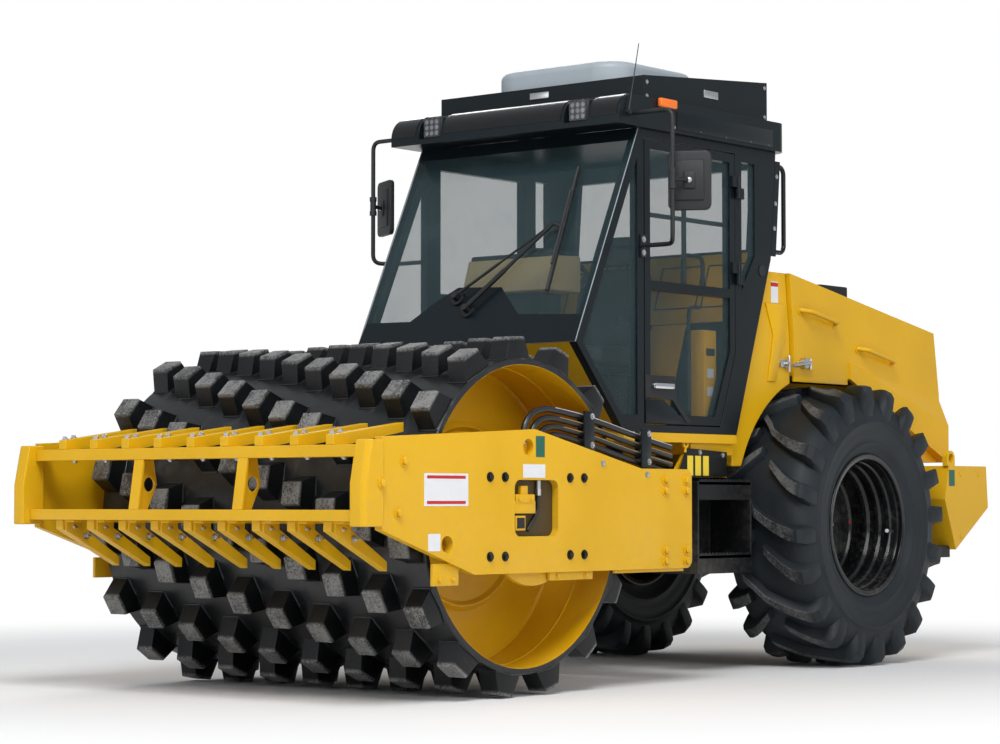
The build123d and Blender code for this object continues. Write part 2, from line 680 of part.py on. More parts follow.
def hitch_block():
    """Boss for the steering pin, its neck, the plate across the rails and the cylinder feet."""
    body = rod_z(PIVOT_X, 0, BOSS_R, BOSS_LOW, BOSS_HIGH)
    body += box(HITCH_FRONT - BITE, PIVOT_X, -NECK_HALF, NECK_HALF, BOSS_LOW, BOSS_HIGH)
    plate = box(HITCH_BACK, HITCH_FRONT, -HITCH_PLATE_HALF, HITCH_PLATE_HALF, HITCH_PLATE_LOW, RAIL_HIGH)
    for side in (-1, 1):
        plate -= box(HITCH_BACK - REACH, HITCH_FRONT + REACH, side * RAM_HOLE_IN, side * RAM_HOLE_OUT,
                     RAM_Z - RAM_HOLE_HALF, RAM_Z + RAM_HOLE_HALF)
    body += plate
    body -= rod_z(PIVOT_X, 0, PIN_R + RUN, BOSS_LOW - REACH, BOSS_HIGH + REACH)
    foot_x = PIVOT_X - RAM_FOOT_BACK
    floor_top = RAM_Z - RAM_R - RAM_NECK
    body += box(foot_x - 2 * RAM_EYE_R, HITCH_BACK + BITE, -HITCH_PLATE_HALF, HITCH_PLATE_HALF,
                floor_top - 2 * LUG_THICK, floor_top)
    for side in (-1, 1):
        y = side * RAM_FOOT_Y
        body += rod_z(foot_x, y, RAM_BORE_R, floor_top - BITE, RAM_Z + RAM_EYE_TALL / 2 + RAM_PIN_HEAD)
        body += rod_z(foot_x, y, RAM_EYE_R - GAP, floor_top - BITE, RAM_Z - RAM_EYE_TALL / 2 - SEAT)
    return body


def rails():
    """Two rails of the rear frame."""
    return both(box(RAILS_BACK, HITCH_BACK, RAIL_IN, RAIL_OUT, RAIL_LOW, RAIL_HIGH))


def cross_plates():
    """Cross pieces between the rails."""
    places = [HITCH_BACK - back for back in CROSS_SETS] + [RAILS_BACK + CROSS_THICK]
    return Compound(children=[box(x - CROSS_THICK, x, -RAIL_IN, RAIL_IN, RAIL_LOW + CROSS_MARGIN,
                                  RAIL_HIGH - CROSS_MARGIN) for x in places])


def rear_axle():
    """Axle housing with its middle gear case and the two hub ends."""
    half = AXLE_BOX / 2
    body = box(AXLE_X - half, AXLE_X + half, -AXLE_HALF, AXLE_HALF, TYRE_R - half, TYRE_R + half)
    case = rod_y(AXLE_X, TYRE_R - GEAR_CASE_DROP, GEAR_CASE_R, -GEAR_CASE_HALF, GEAR_CASE_HALF)
    case -= box(AXLE_X - GEAR_CASE_R - REACH, AXLE_X + GEAR_CASE_R + REACH, -RAIL_IN, RAIL_IN,
                RAIL_LOW - SEAT, RAIL_HIGH)
    body += case
    for side in (-1, 1):
        body += rod_y(AXLE_X, TYRE_R, HUB_NECK_R, side * (AXLE_HALF - BITE),
                      side * (RIM_DISC_Y - RIM_DISC_THICK - GAP))
        body += rod_y(AXLE_X, TYRE_R, AXLE_STUB_R, side * AXLE_HALF, side * AXLE_STUB_END)
    return body


def carcass(side):
    """Tyre under its lugs, as a ring of flats."""
    base = TYRE_R - LUG_RISE
    sections = ((TYRE_IN, BULGE_R), (TYRE_IN + TREAD_EDGE, base), (TYRE_OUT - TREAD_EDGE, base),
                (TYRE_OUT, BULGE_R))
    faces = []
    for y, r in sections:
        plane = Plane(origin=(AXLE_X, side * y, TYRE_R), x_dir=(1, 0, 0), z_dir=(0, -side, 0))
        faces.append((plane * RegularPolygon(r, TYRE_FLATS, major_radius=True)).face())
    body = loft(faces, ruled=True)
    return body - rod_y(AXLE_X, TYRE_R, RIM_R, side * (TYRE_IN - REACH), side * (TYRE_OUT + REACH))


def on_tyre(r, from_x, y):
    """The point at radius r of the tyre, so many degrees from +X upwards."""
    return AXLE_X + r * cos(radians(from_x)), y, TYRE_R + r * sin(radians(from_x))


def lug(rows, start, side, half):
    """One lug from its rows, on the tyre's outer half, 1, or inner half, -1."""
    points = []
    base = TYRE_R - LUG_RISE - LUG_ROOT
    for turn, out, wide in rows:
        y = side * (TYRE_MID + half * out)
        for edge in (-wide, wide):
            points.append(on_tyre(TYRE_R, start + turn + degrees(edge / TYRE_R), y))
            points.append(on_tyre(base, start + turn + degrees(edge * LUG_FOOT_GROW / base), y))
    y = side * (TYRE_MID + half * (TYRE_OUT - TYRE_MID - LUG_SHOULDER_SET))
    low = TYRE_R - LUG_RISE - LUG_SHOULDER_DROP
    for edge in (-wide, wide):
        points.append(on_tyre(low, start + turn + degrees(edge * LUG_FOOT_GROW / base), y))
    return ConvexPolyhedron(points)


def tyre(side):
    """Tyre with a long and a short lug in turn on each half of its tread."""
    lugs = []
    for half, first in zip((1, -1), LUG_STARTS):
        for i in range(LUG_PAIRS):
            start = first + i * 360 / LUG_PAIRS
            lugs.append(lug(LONG_LUG, start, side, half))
            lugs.append(lug(SHORT_LUG, start, side, half))
    return carcass(side).fuse(*lugs)


def rim(side):
    """Deep rim with its disc and hub."""
    outer = RIM_R - SEAT
    edges = (side * (TYRE_IN + RIM_INSET), side * (TYRE_OUT - RIM_INSET))
    body = rod_y(AXLE_X, TYRE_R, outer, *edges)
    body -= rod_y(AXLE_X, TYRE_R, outer - RIM_WALL, side * (TYRE_IN + RIM_INSET - REACH),
                  side * (TYRE_OUT - RIM_INSET + REACH))
    disc_in, disc_out = RIM_DISC_Y - RIM_DISC_THICK / 2, RIM_DISC_Y + RIM_DISC_THICK / 2
    body += rod_y(AXLE_X, TYRE_R, outer - RIM_WALL / 2, side * disc_in, side * disc_out)
    body += rod_y(AXLE_X, TYRE_R, HUB_BOSS_R, side * disc_in, side * HUB_END)
    bore_end = side * (AXLE_STUB_END + BITE)
    return body - rod_y(AXLE_X, TYRE_R, AXLE_STUB_R + RUN, side * (disc_in - REACH), bore_end)


def weight_outline():
    """Side outline of the counterweight."""
    return [
        (AXLE_X - WEIGHT_TOP_FRONT, WEIGHT_TOP), (AXLE_X - WEIGHT_TOP_BACK, WEIGHT_TOP),
        (TAIL_X, WEIGHT_KINK_Z), (AXLE_X - WEIGHT_LOW_BACK, WEIGHT_LOW),
        (AXLE_X - WEIGHT_FRONT, WEIGHT_NOSE_Z),
    ]


def counterweight():
    """Wedge-shaped weight across the tail, with two tie-down ears and the hood's hinge pins."""
    body = slab(weight_outline(), -WEIGHT_HALF, WEIGHT_HALF)
    ear_x, ear_z = AXLE_X - WEIGHT_TOP_FRONT - EAR_SET, WEIGHT_TOP + EAR_R
    for side in (-1, 1):
        body += box(HOOD_PIN_X - HINGE_BLOCK_LONG, HOOD_PIN_X + HINGE_BLOCK_LONG,
                    side * (HOOD_PIN_Y - HINGE_BLOCK_HALF), side * (HOOD_PIN_Y + HINGE_BLOCK_HALF),
                    WEIGHT_TOP - BITE, HOOD_PIN_Z)
        body += rod_y(HOOD_PIN_X, HOOD_PIN_Z, HOOD_PIN_R, side * (HOOD_PIN_Y - HOOD_PIN_HALF),
                      side * (HOOD_PIN_Y + HOOD_PIN_HALF))
        inner = side * (WEIGHT_HALF - EAR_THICK)
        body += box(ear_x - EAR_R, ear_x + EAR_R, inner, side * WEIGHT_HALF, WEIGHT_TOP - BITE, ear_z)
        body += rod_y(ear_x, ear_z, EAR_R, inner, side * WEIGHT_HALF)
        body -= rod_y(ear_x, ear_z, LUG_BORE_R, side * (WEIGHT_HALF - EAR_THICK - REACH),
                      side * (WEIGHT_HALF + REACH))
    return body


def tail_block():
    """Left rubber block under the weight's lower edge."""
    back = AXLE_X - WEIGHT_LOW_BACK
    block = box(back, back + TAIL_BLOCK_LONG, TAIL_BLOCK_IN, TAIL_BLOCK_OUT, TAIL_BLOCK_LOW, TAIL_BLOCK_HIGH)
    return block - slab(weight_outline(), -WEIGHT_HALF, WEIGHT_HALF)


def cab_outline():
    """Side outline of the cab, from the lower front corner round to the lower rear corner."""
    return [
        (on_drum(CAB_FOOT_FRONT), CAB_FLOOR), (on_drum(CAB_SILL_FRONT), CAB_SILL_Z),
        (on_drum(CAB_BROW), CAB_EAVES), (on_drum(CAB_BACK_TOP), CAB_EAVES),
        (on_drum(CAB_BACK_WAIST), CAB_WAIST_Z), (on_drum(CAB_BACK_FOOT), CAB_FLOOR),
    ]


def back_line_x(z):
    """The cab's rear edge at height z."""
    if z <= CAB_WAIST_Z:
        share = (z - CAB_FLOOR) / (CAB_WAIST_Z - CAB_FLOOR)
        return on_drum(between(CAB_BACK_FOOT, CAB_BACK_WAIST, share))
    share = (z - CAB_WAIST_Z) / (CAB_EAVES - CAB_WAIST_Z)
    return on_drum(between(CAB_BACK_WAIST, CAB_BACK_TOP, share))


def door_outline(grow):
    """Outline of the doorway, drawn out by the given amount."""
    return [
        (on_drum(DOOR_FRONT) + grow, DOOR_LOW - grow), (on_drum(DOOR_FRONT) + grow, DOOR_TOP + grow),
        (on_drum(DOOR_BACK) - grow, DOOR_TOP + grow), (on_drum(DOOR_BACK) - grow, DOOR_KINK_Z),
        (on_drum(DOOR_FOOT_BACK) - grow, DOOR_LOW - grow),
    ]


def door_panes():
    """The door's two openings: above and below its rail."""
    front, back = on_drum(DOOR_FRONT) - DOOR_FRAME, on_drum(DOOR_BACK) + DOOR_FRAME
    foot = on_drum(DOOR_FOOT_BACK) + DOOR_FRAME
    top, low = DOOR_TOP - DOOR_FRAME, DOOR_LOW + DOOR_FRAME
    rail_low = DOOR_RAIL_Z - DOOR_RAIL_TALL
    upper = [(front, DOOR_RAIL_Z), (front, top), (back, top), (back, DOOR_RAIL_Z)]
    lower = [(front, low), (front, rail_low), (back, rail_low), (back, DOOR_KINK_Z), (foot, low)]
    return upper, lower


def front_quarter():
    """Opening of the glass ahead of the door post."""
    edge = FRONT_GLASS_EDGE
    back = on_drum(DOOR_FRONT) + edge
    lean = (CAB_BROW - CAB_SILL_FRONT) / (CAB_EAVES - CAB_SILL_Z)
    high = CAB_SILL_Z + (DOOR_FRONT - 2 * edge - CAB_SILL_FRONT) / lean
    share = (FRONT_GLASS_LOW - CAB_FLOOR) / (CAB_SILL_Z - CAB_FLOOR)
    front_low = on_drum(between(CAB_FOOT_FRONT, CAB_SILL_FRONT, share))
    return [(back, FRONT_GLASS_LOW), (front_low - edge, FRONT_GLASS_LOW),
            (on_drum(CAB_SILL_FRONT) - edge, CAB_SILL_Z), (back, high)]


def rear_quarter():
    """Opening of the narrow glass behind the door, which ends in a point."""
    front, back = on_drum(QUARTER_FRONT), on_drum(QUARTER_BACK)
    return [(front, QUARTER_LOW), (front, QUARTER_TOP), (back, QUARTER_TOP), (back, QUARTER_BEND_Z)]


def cab_side(side, doorway):
    """A side wall of the cab, with the openings of its glass and, on the left, the doorway."""
    wall = slab(cab_outline(), side * (CAB_HALF - WALL), side * CAB_HALF)
    cuts = [front_quarter(), rear_quarter()]
    cuts += [door_outline(0)] if doorway else list(door_panes())
    for outline in cuts:
        wall -= slab(outline, side * (CAB_HALF - WALL - REACH), side * (CAB_HALF + REACH))
    return wall


def pane(outline, side):
    """Flat glass that fills an opening in a side wall."""
    inner = CAB_HALF - GLASS_SET - GLASS
    face = make_face(Polyline(*[(x, side * inner, z) for x, z in outline], close=True))
    face = offset(face, amount=-SEAT, kind=Kind.INTERSECTION)
    return extrude(face, amount=GLASS, dir=(0, side, 0))


def cab_back():
    """Rear wall of the cab, with its window."""
    feet = [(on_drum(CAB_BACK_FOOT), CAB_FLOOR), (on_drum(CAB_BACK_WAIST), CAB_WAIST_Z),
            (on_drum(CAB_BACK_TOP), CAB_EAVES)]
    half = CAB_HALF - WALL
    wall = slab(feet + [(x + WALL, z) for x, z in reversed(feet)], -half, half)
    return wall - box(on_drum(CAB_BACK_TOP) - REACH, on_drum(CAB_BACK_FOOT), -half + BACK_GLASS_EDGE,
                      half - BACK_GLASS_EDGE, BACK_GLASS_LOW, BACK_GLASS_HIGH)


def back_glass():
    """Glass of the rear window, in the slope of the wall."""
    low, high = BACK_GLASS_LOW + SEAT, BACK_GLASS_HIGH - SEAT
    near, far = WALL / 2, WALL / 2 + GLASS
    points = [(back_line_x(z) + shift, z) for z, shift in ((low, near), (high, near), (high, far), (low, far))]
    half = CAB_HALF - WALL - BACK_GLASS_EDGE - SEAT
    return slab(points, -half, half)


def windscreen():
    """The large front glass, set in front of the side walls' edges."""
    foot, brow = on_drum(CAB_SILL_FRONT), on_drum(CAB_BROW)
    outline = [(foot, CAB_SILL_Z), (brow, CAB_EAVES), (brow + GLASS, CAB_EAVES), (foot + GLASS, CAB_SILL_Z)]
    return slab(outline, -CAB_HALF, CAB_HALF)


def cab_front_panel():
    """Sloping panel under the windscreen."""
    foot, sill = on_drum(CAB_FOOT_FRONT), on_drum(CAB_SILL_FRONT)
    half = CAB_HALF - WALL
    outline = [(foot, CAB_FLOOR), (sill, CAB_SILL_Z), (sill - WALL, CAB_SILL_Z), (foot - WALL, CAB_FLOOR)]
    return slab(outline, -half, half)


def cab_floor():
    """Floor plate under the walls."""
    return box(on_drum(CAB_BACK_FOOT), on_drum(CAB_FOOT_FRONT), -CAB_HALF, CAB_HALF,
               CAB_FLOOR - CAB_FLOOR_THICK, CAB_FLOOR)


def cab_mounts():
    """Deck between the rails and the cab floor, with four feet and an apron on each side."""
    back = on_drum(CAB_BACK_FOOT)
    half = CAB_HALF - DECK_SET
    deck_high = CAB_FLOOR - CAB_FLOOR_THICK
    deck_low = deck_high - DECK_THICK
    body = box(back, HITCH_BACK, -half, half, deck_low, deck_high)
    apron = [(on_drum(APRON_FRONT_LOW), APRON_LOW), (on_drum(APRON_FRONT_TOP), deck_low + BITE),
             (on_drum(APRON_BACK), deck_low + BITE), (on_drum(APRON_BACK), APRON_LOW)]
    for side in (-1, 1):
        for x in (HITCH_BACK - MOUNT_LONG, back):
            body += box(x, x + MOUNT_LONG, side * RAIL_IN, side * RAIL_OUT, RAIL_HIGH, deck_low + BITE)
        body += slab(apron, side * (half - APRON_THICK), side * half)
    return body


def steps():
    """Left access step box on a bracket from the rail, with two treads."""
    front, back = HITCH_FRONT, AXLE_X + TYRE_R + STEP_TYRE_GAP
    end = STEP_WALL / 2
    body = box(back, front, STEP_IN, STEP_IN + STEP_WALL, STEP_LOW, RAIL_HIGH - GAP)
    for z in (STEP_LOW, STEP_HIGH):
        body += box(back, front, STEP_IN, STEP_OUT, z, z + STEP_TALL)
    for x in (front - end, back):
        body += box(x, x + end, STEP_IN, STEP_OUT, STEP_LOW, STEP_HIGH + STEP_TALL)
    return body + box(front - BRACKET_AHEAD, front - BRACKET_AHEAD + BRACKET_LONG, RAIL_OUT, STEP_IN + BITE,
                      RAIL_LOW + REACH, RAIL_HIGH - BRACKET_TRIM)


def crown_outline(low):
    """Side outline of the raised box on the roof, from the given height up."""
    return [(on_drum(BOX_FRONT), low), (on_drum(BOX_FRONT), ROOF_TOP + BOX_RISE_FRONT),
            (on_drum(BOX_BACK), ROOF_TOP + BOX_RISE_BACK), (on_drum(BOX_BACK), low)]


def roof():
    """Roof slab with its rounded brow, the lamps' pockets and the raised box on top."""
    body = box(on_drum(ROOF_BACK), on_drum(ROOF_FRONT), -ROOF_HALF, ROOF_HALF, ROOF_LOW, ROOF_TOP)
    body = fillet(body.edges().filter_by(Axis.Z).group_by(Axis.X)[0], TAIL_ROUND)
    body = fillet(body.edges().filter_by(Axis.Y).group_by(Axis.Z)[-1].sort_by(Axis.X)[-1], BROW_ROUND)
    for side in (-1, 1):
        body -= box(on_drum(ROOF_FRONT) - LAMP_DEEP - GAP, on_drum(ROOF_FRONT) + REACH,
                    side * (LAMP_IN - LAMP_GAP), side * (LAMP_OUT + LAMP_GAP),
                    ROOF_LOW + LAMP_LOW, ROOF_TOP + REACH)
    return body + slab(crown_outline(ROOF_TOP - BITE), -BOX_HALF, BOX_HALF)


def cooler():
    """Low rounded housing on the roof box."""
    top = ROOF_TOP + BOX_RISE_BACK + COOLER_RISE
    body = box(on_drum(COOLER_BACK), on_drum(COOLER_FRONT), -COOLER_HALF, COOLER_HALF, ROOF_TOP, top)
    body = fillet(body.edges().filter_by(Axis.Z), COOLER_CORNER)
    body = fillet(body.edges().group_by(Axis.Z)[-1], COOLER_ROUND)
    return body - slab(crown_outline(ROOF_LOW), -BOX_HALF, BOX_HALF)


def tank():
    """Tank housing between the cab and the hood."""
    foot_z = CAB_FLOOR + TANK_SET
    foot_x = back_line_x(foot_z) - GAP
    outline = [
        (foot_x, RAIL_HIGH), (foot_x, foot_z), (back_line_x(HOOD_TOP_FRONT) - GAP, HOOD_TOP_FRONT),
        (on_drum(HOOD_FRONT) + GAP, HOOD_TOP_FRONT), (on_drum(HOOD_FRONT_LOW) + GAP, HOOD_FRONT_BEND),
        (on_drum(HOOD_FRONT_LOW) + GAP, RAIL_HIGH)]
    body = slab(outline, -TANK_HALF, TANK_HALF)
    for side in (-1, 1):
        body -= rod_y(AXLE_X, TYRE_R, ARCH_R, side * BAY_WALL_Y, side * (TANK_HALF + REACH))
    return body


def bay_walls():
    """Inner walls between the hood and the rails, behind the tyres."""
    front = on_drum(HOOD_FRONT_LOW)
    wall = box(RAILS_BACK, front, BAY_WALL_Y - BAY_WALL_THICK, BAY_WALL_Y, RAIL_LOW, HOOD_SKIRT - REACH)
    foot = box(RAILS_BACK, front, RAIL_OUT, BAY_WALL_Y - BITE, RAIL_LOW, RAIL_LOW + BAY_WALL_THICK)
    return both(wall + foot)


def flare(side):
    """Swelling of the hood's side over a rear tyre."""
    root = HOOD_HALF - FLARE_LIP
    near = [(root, CREASE_FRONT), (HOOD_HALF + FLARE_LIP, CREASE_FRONT - FLARE_LIP),
            (HOOD_HALF + FLARE_LIP, HOOD_SKIRT), (root, HOOD_SKIRT)]
    far = [(root, CREASE_BACK), (FLARE_HALF, FLARE_EDGE_BACK), (FLARE_HALF, HOOD_LOW), (root, HOOD_LOW)]
    faces = []
    for x, section in ((on_drum(FLARE_START), near), (on_drum(HOOD_BACK_LOW), far)):
        faces.append(make_face(Polyline(*[(x, side * y, z) for y, z in section], close=True)))
    swelling = loft(faces, ruled=True)
    return swelling - rod_y(AXLE_X, TYRE_R, ARCH_R, side * BAY_WALL_Y, side * (FLARE_HALF + REACH))


def hood():
    """Engine hood: top, sides, rear and front walls, with flares over the tyres."""
    front, front_low, back = on_drum(HOOD_FRONT), on_drum(HOOD_FRONT_LOW), on_drum(HOOD_BACK_LOW)
    arch = AXLE_X - ARCH_R
    outline = [
        (front_low, HOOD_SKIRT), (front_low, HOOD_FRONT_BEND), (front, HOOD_TOP_FRONT),
        (on_drum(HOOD_BACK_TOP), HOOD_TOP_BACK), (back, CREASE_BACK), (back, HOOD_LOW), (arch, HOOD_LOW),
        (arch, HOOD_SKIRT - SKIRT_RISE), (arch + SKIRT_RUN, HOOD_SKIRT),
    ]
    body = slab(outline, -HOOD_HALF, HOOD_HALF) + flare(1) + flare(-1)
    under = HOOD_LOW - 2 * SKIRT_RISE
    inner = [
        (front_low - HOOD_WALL, under), (front_low - HOOD_WALL, HOOD_FRONT_BEND),
        (front - HOOD_WALL, HOOD_TOP_FRONT - HOOD_WALL),
        (on_drum(HOOD_BACK_TOP) + HOOD_WALL, HOOD_TOP_BACK - HOOD_WALL),
        (back + HOOD_WALL, CREASE_BACK), (back + HOOD_WALL, under),
    ]
    body -= slab(inner, -HOOD_HALF + HOOD_WALL, HOOD_HALF - HOOD_WALL)
    for side in (-1, 1):
        body -= box(HOOD_PIN_X - NOTCH_BACK, HOOD_PIN_X + NOTCH_FRONT,
                    side * (HOOD_PIN_Y - HOOD_PIN_HALF - SEAT), side * (HOOD_PIN_Y + HOOD_PIN_HALF + SEAT),
                    HOOD_LOW - REACH, HOOD_PIN_Z + NOTCH_RISE)
    return body


def engine():
    """The engine as one plain block on the rails."""
    return box(on_drum(ENGINE_BACK), on_drum(ENGINE_FRONT), -ENGINE_HALF, ENGINE_HALF, RAIL_HIGH, ENGINE_TOP)


def exhaust():
    """Low outlet box on the hood."""
    share = (EXHAUST_X - HOOD_FRONT) / (HOOD_BACK_TOP - HOOD_FRONT)
    top = between(HOOD_TOP_FRONT, HOOD_TOP_BACK, share) + EXHAUST_RISE
    x = on_drum(EXHAUST_X)
    body = box(x - EXHAUST_HALF, x + EXHAUST_HALF, EXHAUST_IN, EXHAUST_OUT, top - 2 * EXHAUST_RISE, top)
    under = slab([(on_drum(HOOD_FRONT), HOOD_SKIRT), (on_drum(HOOD_FRONT), HOOD_TOP_FRONT),
                  (on_drum(HOOD_BACK_TOP), HOOD_TOP_BACK), (on_drum(HOOD_BACK_TOP), HOOD_SKIRT)],
                 EXHAUST_IN - REACH, EXHAUST_OUT + REACH)
    return body - under


def rear_grille():
    """Grille on the hood's rear wall: a frame with slats."""
    x = on_drum(HOOD_BACK_LOW)
    body = box(x - GRILLE_DEEP, x, -GRILLE_HALF, GRILLE_HALF, GRILLE_LOW, GRILLE_HIGH)
    half = GRILLE_HALF - GRILLE_EDGE
    low, high = GRILLE_LOW + GRILLE_EDGE, GRILLE_HIGH - GRILLE_EDGE
    body -= box(x - GRILLE_DEEP - REACH, x + REACH, -half, half, low, high)
    pitch = (high - low) / (SLAT_COUNT + 1)
    for i in range(1, SLAT_COUNT + 1):
        z = low + i * pitch
        body += box(x - GRILLE_DEEP, x, -half - BITE, half + BITE, z - SLAT_TALL / 2, z + SLAT_TALL / 2)
    return body


def hinge_heights():
    """Heights of the two door hinges."""
    return DOOR_TOP - HINGE_TOP_DROP, (DOOR_TOP + DOOR_LOW) / 2 + HINGE_LOW_RISE


def door():
    """Door frame with its two glass openings, riding on two hinges at its rear edge."""
    body = slab(door_outline(-PANEL_GAP), CAB_HALF - WALL, CAB_HALF)
    for outline in door_panes():
        body -= slab(outline, CAB_HALF - WALL - REACH, CAB_HALF + REACH)
    for z in hinge_heights():
        low, high = z + KNUCKLE_TALL / 2 + SEAT, z + KNUCKLE_TALL * 3 / 2
        body += rod_z(HINGE_X, HINGE_Y, HINGE_R, low, high)
        body += box(HINGE_X + PANEL_GAP, HINGE_X + HINGE_LEAF, CAB_HALF - BITE, HINGE_Y + PANEL_GAP, low, high)
    return body


def door_glass():
    return Compound(children=[pane(outline, 1) for outline in door_panes()])


def cab_glass():
    """All fixed panes but the windscreen."""
    panes = [pane(outline, side) for outline in (front_quarter(), rear_quarter()) for side in (-1, 1)]
    return Compound(children=panes + [pane(outline, -1) for outline in door_panes()] + [back_glass()])


def hinge_posts():
    """Hinge knuckles on the cab's rear door post."""
    knuckles = []
    for z in hinge_heights():
        low, high = z - KNUCKLE_TALL / 2, z + KNUCKLE_TALL / 2
        knuckle = rod_z(HINGE_X, HINGE_Y, HINGE_R, low, high)
        knuckle += box(HINGE_X - HINGE_LEAF, HINGE_X - LEAF_START, CAB_HALF, HINGE_Y, low, high)
        knuckles.append(knuckle)
    return Compound(children=knuckles)


def seat():
    """Operator's seat on its base."""
    x = on_drum(SEAT_BACK)
    back, front, half = SEAT_BASE
    base_top = CAB_FLOOR + SEAT_BASE_TALL
    body = box(x - back, x + front, -half, half, CAB_FLOOR, base_top)
    back, front, half = CUSHION
    body += box(x - back, x + front, -half, half, base_top - BITE, base_top + CUSHION_TALL)
    foot, top = CAB_FLOOR + REST_FOOT, CAB_FLOOR + REST_TOP
    body += slab([(x - back, foot), (x - back + REST_THICK, foot), (x - back - REST_LEAN + REST_THICK, top),
                  (x - back - REST_LEAN, top)], -half, half)
    return body


def steering_stand():
    """Console on its stand, with the steering column and wheel behind it."""
    body = box(on_drum(STAND_BACK), on_drum(STAND_FRONT), -STAND_HALF, STAND_HALF,
               CAB_FLOOR, CONSOLE_LOW + BITE)
    cover = [(on_drum(CONSOLE_FRONT), CONSOLE_LOW), (on_drum(CONSOLE_FRONT + CONSOLE_LEAN), CONSOLE_TOP_FRONT),
             (on_drum(CONSOLE_BACK), CONSOLE_TOP_BACK), (on_drum(CONSOLE_BACK), CONSOLE_LOW)]
    body += slab(cover, CONSOLE_MID - CONSOLE_HALF, CONSOLE_MID + CONSOLE_HALF)
    foot = Vector(on_drum(COLUMN_FOOT[0]), 0, COLUMN_FOOT[1])
    top = Vector(on_drum(COLUMN_TOP[0]), 0, COLUMN_TOP[1])
    body += rod_between(foot, top, COLUMN_R)
    tilt = Plane(origin=top, x_dir=(0, 1, 0), z_dir=top - foot)
    ring = tilt * Torus(WHEEL_R, WHEEL_RING_R) + tilt * Box(2 * WHEEL_R, SPOKE_WIDE, SPOKE_THICK)
    return body + ring + tilt * Cylinder(WHEEL_BOSS_R, 2 * SPOKE_THICK)


def mirror_arm():
    """Left mirror: tube from the roof down to the door post, and the head behind it."""
    x, y = on_drum(MIRROR_X), MIRROR_Y
    foot_x = on_drum(MIRROR_FOOT_X)
    bar = tube([(x, ROOF_HALF, MIRROR_TOP), (x, y, MIRROR_TOP), (x, y, MIRROR_LOW),
                (foot_x, y - HEAD_WIDE / 2, MIRROR_LOW), (foot_x, CAB_HALF, MIRROR_LOW)],
               MIRROR_TUBE_R, MIRROR_BEND)
    head = Box(HEAD_THICK, HEAD_WIDE, HEAD_TALL)
    head = fillet(head.edges().filter_by(Axis.X), HEAD_ROUND)
    middle = (on_drum(HEAD_X), HEAD_Y, HEAD_Z)
    head = Pos(*middle) * Rot(0, 0, HEAD_TURN) * head
    return bar + rod_between((x, y, HEAD_Z), middle, MIRROR_TUBE_R) + head


def lamps():
    """Two work lamps in the brow's pockets and two marker lamps on the roof's sides."""
    front = on_drum(ROOF_FRONT)
    low = ROOF_LOW + LAMP_LOW
    marker_back = on_drum(MARKER_FRONT + MARKER_LONG)
    marker_low = ROOF_LOW + MARKER_LOW
    shapes = []
    for side in (-1, 1):
        shapes.append(box(front - LAMP_DEEP - GAP, front - GAP, side * LAMP_IN, side * LAMP_OUT,
                          low, low + LAMP_TALL))
        shapes.append(box(marker_back, on_drum(MARKER_FRONT), side * ROOF_HALF,
                          side * (ROOF_HALF + MARKER_OUT), marker_low, marker_low + MARKER_TALL))
    return Compound(children=shapes)


def grab_rail():
    """Left grab rail: a strip along the cab's rear edge and the bar behind it."""
    outer, inner = CAB_HALF, CAB_HALF - RAIL_STRIP_OUT
    low, high = RAIL_FOOT, RAIL_TOP
    line = [(back_line_x(low), low), (back_line_x(high), high)]
    strip = slab(line + [(x - RAIL_STRIP_WIDE, z) for x, z in reversed(line)], inner, outer)
    y = CAB_HALF - RAIL_TUBE_R
    bend = 2 * RAIL_TUBE_R
    far = back_line_x(high) - RAIL_REACH
    bar = tube([(back_line_x(high) - bend, y, high - bend), (far, y, high - bend), (far, y, low + bend),
                (back_line_x(low) - bend, y, low + bend)], RAIL_TUBE_R, RAIL_BEND)
    return strip + bar


def antenna():
    """Whip antenna on a foot at the roof's left side."""
    x = on_drum(ANTENNA_X)
    foot_z = MIRROR_TOP
    foot = box(x - ANTENNA_FOOT / 2, x + ANTENNA_FOOT / 2, ROOF_HALF, ROOF_HALF + ANTENNA_FOOT,
               foot_z - ANTENNA_FOOT / 2, foot_z + ANTENNA_FOOT / 2)
    y = ROOF_HALF + ANTENNA_FOOT / 2
    return foot + rod_between((x, y, foot_z), (x - ANTENNA_LEAN, y, foot_z + ANTENNA_RISE), ANTENNA_R)


def plate_top_z(x):
    """Height of a side plate's top edge at station x, behind its crest."""
    share = (DRUM_X + PLATE_CREST - x) / (PLATE_CREST + PLATE_SHOULDER)
    return max(between(PLATE_TOP_CREST, PLATE_TOP_BACK, share), PLATE_TOP_BACK)


def hose(row):
    """One hose from its port, over the left side plate's edge, to the cross member."""
    y = (DRUM_HALF + PLATE_Y) / 2
    x = on_drum(HOSE_START) + HOSE_SPREAD * row
    rise = HOSE_STEP * row
    points = [(x, y, PORT_TOP + SEAT), (x, y, PORT_TOP + HOSE_RISE + rise)]
    for place, lift in zip(CLAMP_PLACES, CLAMP_LIFT):
        points.append((on_drum(place), y, plate_top_z(on_drum(place)) + lift + rise))
    points.append((on_drum(HOSE_END), y - HOSE_END_INWARD, CROSS_HIGH + CLAMP_LIFT[1] + rise))
    return tube(points, HOSE_R, HOSE_BEND)


